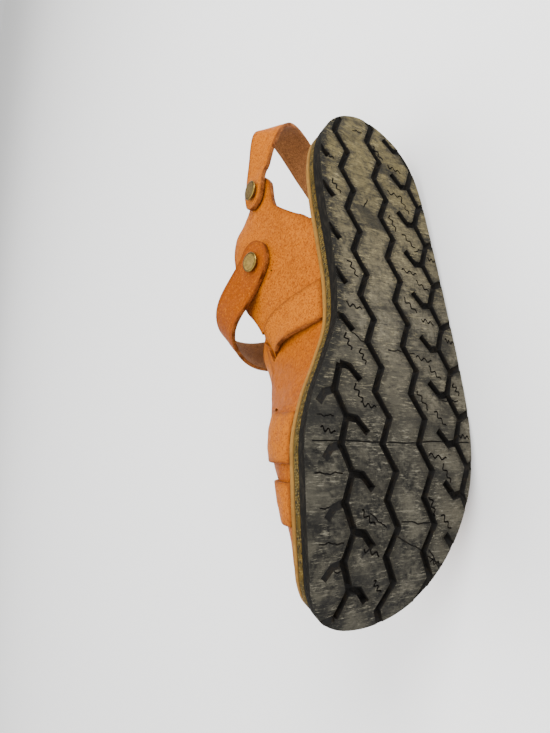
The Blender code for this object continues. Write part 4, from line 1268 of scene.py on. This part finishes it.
def makeRibbon(name, centres, normals, width, count, across, node, finish):
    knots = distances(centres)
    reach, radius = knots[-1], width / 2
    ends = radius * (1 - np.cos(np.linspace(0.25, math.pi / 2, 5)))
    part = np.linspace(0, 1, count)[1:-1]
    part -= loose["endsDenser"] * np.sin(math.tau * part) / math.tau
    at = np.concatenate([ends, radius + part * (reach - 2 * radius), reach - ends[::-1]])
    middle, out = hermite(knots, centres, at), hermite(knots, normals, at)
    ahead = np.gradient(middle, at, axis=0)
    side = unit(np.cross(out, ahead))
    out = unit(np.cross(ahead, side))
    fromEnd = np.clip(np.minimum(at, reach - at), 0, radius)
    half = np.sqrt(radius ** 2 - (radius - fromEnd) ** 2)
    spread = np.linspace(-1, 1, across + 1)
    out = out[:, None]
    thick = wallSizes["strap"]
    below = middle[:, None] + (side * half[:, None])[:, None] * spread[:, None] - out * thick / 2
    push = np.array([[pushOff(place, up[0]) for place in line]
                     for line, up in zip(below, out)])
    around = np.pad(push, 1, mode="edge")
    push = np.max([around[i:i + len(at), j:j + across + 1]
                   for i in range(3) for j in range(3)], axis=0)
    outer = below + push[..., None] * out + out * thick
    rings = len(at)

    def place(u, v):
        return outer[np.rint(u * (rings - 1)).astype(int), np.rint(v * across).astype(int)]
    strap = laidGrid(name, rings - 1, across, place)
    if np.dot(strap.data.polygons[0].normal, out[0, 0]) < 0:
        editAll(strap, bpy.ops.mesh.flip_normals)
    modify(strap, "SUBSURF", levels=3, render_levels=3)
    rimShade(strap, loose["rim"])
    pressLine(strap)
    dress(strap, finish, "flesh", "edge")
    thicken(strap, thick)
    leatherEdges(strap, woven["edge"])
    smooth(strap, slab["smooth"])
    finishPiece(strap, "upper_leather", node)


outside, outNormals = onUpper(instep["on"], loose["lift"])
inside, inNormals = onUpper(instep["in"], -wallSizes["wall"] - loose["lift"] - loose["apart"])
free = np.array(instep["free"])
makeRibbon("instep_band", np.vstack([outside, free[:, :3], inside]),
           np.vstack([outNormals, free[:, 3:], inNormals]), instep["width"],
           instep["rings"], instep["across"], "instep_strap", "instepLeather")
inner, innerNormals = onUpper(heel["on"], loose["lift"], -1)
outerSide, outerNormals = onUpper(heel["on"][::-1], loose["lift"], 1)
free = np.array(heel["free"])
makeRibbon("heel_band", np.vstack([inner, free[:, :3], outerSide]),
           np.vstack([innerNormals, free[:, 3:], outerNormals]), heel["width"],
           heel["rings"], heel["across"], "heel_strap", "strapLeather")
print("loose straps made")

# press studs

stud = {
    # from the middle of the dome over the rolled rim to the underside: radius, height
    "profile": ((0.0, 2.15), (2.0, 2.12), (3.6, 1.98), (4.7, 1.74), (5.15, 1.55), (5.35, 1.38),
                (5.6, 1.42), (5.85, 1.35), (6.1, 1.0), (6.05, 0.55), (5.7, 0.2), (5.0, 0.0),
                (0.0, 0.0)),
    "segments": 64, "rings": 40,
    # radius, half width and strength of the dark line inside the rolled rim: tarnish and painted
    # shade in the groove
    "dip": 5.25, "dipHalf": 0.32, "tarnishAndShade": 0.9, "smooth": 50,
}


def seatOf(node):
    # middle of the underside of a packed cap and the way it faces
    places = np.array([v.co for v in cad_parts[node].data.vertices])
    centre = places.mean(axis=0)
    _, _, axes = np.linalg.svd(places - centre)
    normal = axes[2]
    heights = (places - centre) @ normal
    if (heights > (heights.max() + heights.min()) / 2).mean() > 0.5:
        normal, heights = -normal, -heights
    return Vector(centre + normal * heights.min()), Vector(normal)


def makeCap(name, node):
    deselectAll()
    bpy.ops.mesh.primitive_uv_sphere_add(segments=stud["segments"], ring_count=stud["rings"],
                                         radius=1)
    cap = named(name)
    ball = points(cap)
    t = np.arccos(np.clip(ball[:, 2], -1, 1)) / math.pi
    profile = np.array(stud["profile"])
    knots = distances(profile)
    radius, height = (np.interp(t * knots[-1], knots, profile[:, k]) for k in (0, 1))
    flat = np.linalg.norm(ball[:, :2], axis=1)
    way = ball[:, :2] / np.maximum(flat, 1e-6)[:, None]
    setPoints(cap, np.column_stack([way * radius[:, None], height]) * mm)
    # dark line in the groove of the rolled rim: tarnish and painted shade
    attribute(cap, "rim", stud["tarnishAndShade"] * np.exp(
        -((radius - stud["dip"]) / stud["dipHalf"]) ** 2))
    seat, normal = seatOf(node)
    cap.data.transform(facing(seat, normal))
    dress(cap, "brass")
    smooth(cap, stud["smooth"])
    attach(cap, "root")
    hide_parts(node)


for name, node in (("instep_cap", "instep_snap"), ("heel_cap_inner", "heel_snap_inner"),
                   ("heel_cap_outer", "heel_snap_outer")):
    makeCap(name, node)
print("press studs set")

# floor, light and camera

studio = {
    "floor": 12.0, "floorZ": -0.0005, "floorColour": (0.94, 0.938, 0.93), "world": 0.8,
    "viewAngle": 67.3561,      # from bottom to top, in degrees
    "camera": (-196.6, 234.8, -187.9), "right": (0.8551, 0.0933, -0.5101),
    "down": (0.0754, 0.9509, 0.3002), "ahead": (0.513, -0.2952, 0.806),
}
deselectAll()
bpy.ops.mesh.primitive_plane_add(size=studio["floor"], location=(0, 0, studio["floorZ"]))
floor = named("floor")
floorMaterial, tree, shader = newMaterial("floor paint")
shader.inputs["Base Color"].default_value = (*studio["floorColour"], 1)
shader.inputs["Roughness"].default_value = 0.85
floor.data.materials.append(floorMaterial)

world = bpy.data.worlds.new("studio")
world.use_nodes = True
world.node_tree.nodes["Background"].inputs["Color"].default_value = (1, 1, 1, 1)
world.node_tree.nodes["Background"].inputs["Strength"].default_value = studio["world"]
bpy.context.scene.world = world

# name, place, size, power: all look at the middle of the sandal
for name, place, size, power in (
        ("key", (-0.85, -0.75, 0.75), 0.7, 26.0),
        ("fill", (-0.9, 0.6, 0.7), 1.0, 6.0),
        ("overhead", (0.5, 0.1, 2.6), 3.6, 125.0)):
    bpy.ops.object.light_add(type="AREA", location=place)
    lamp = bpy.context.object
    lamp.name = name + "_light"
    lamp.data.energy = power
    lamp.data.size = size
    lamp.rotation_mode = "QUATERNION"
    lamp.rotation_quaternion = (Vector((0, 0, 0.05)) - Vector(place)).to_track_quat("-Z", "Y")

bpy.ops.object.camera_add()
camera = bpy.context.object
right, down, ahead = (Vector(studio[key]).normalized() for key in ("right", "down", "ahead"))
axes = Matrix((right, -down, -ahead)).transposed().to_4x4()
camera.matrix_world = toRow @ Matrix.Translation(Vector(studio["camera"]) * mm) @ axes
camera.data.sensor_fit = "VERTICAL"
camera.data.angle = math.radians(studio["viewAngle"])
bpy.context.scene.camera = camera
print("camera height:", round(camera.matrix_world.translation.z, 3))
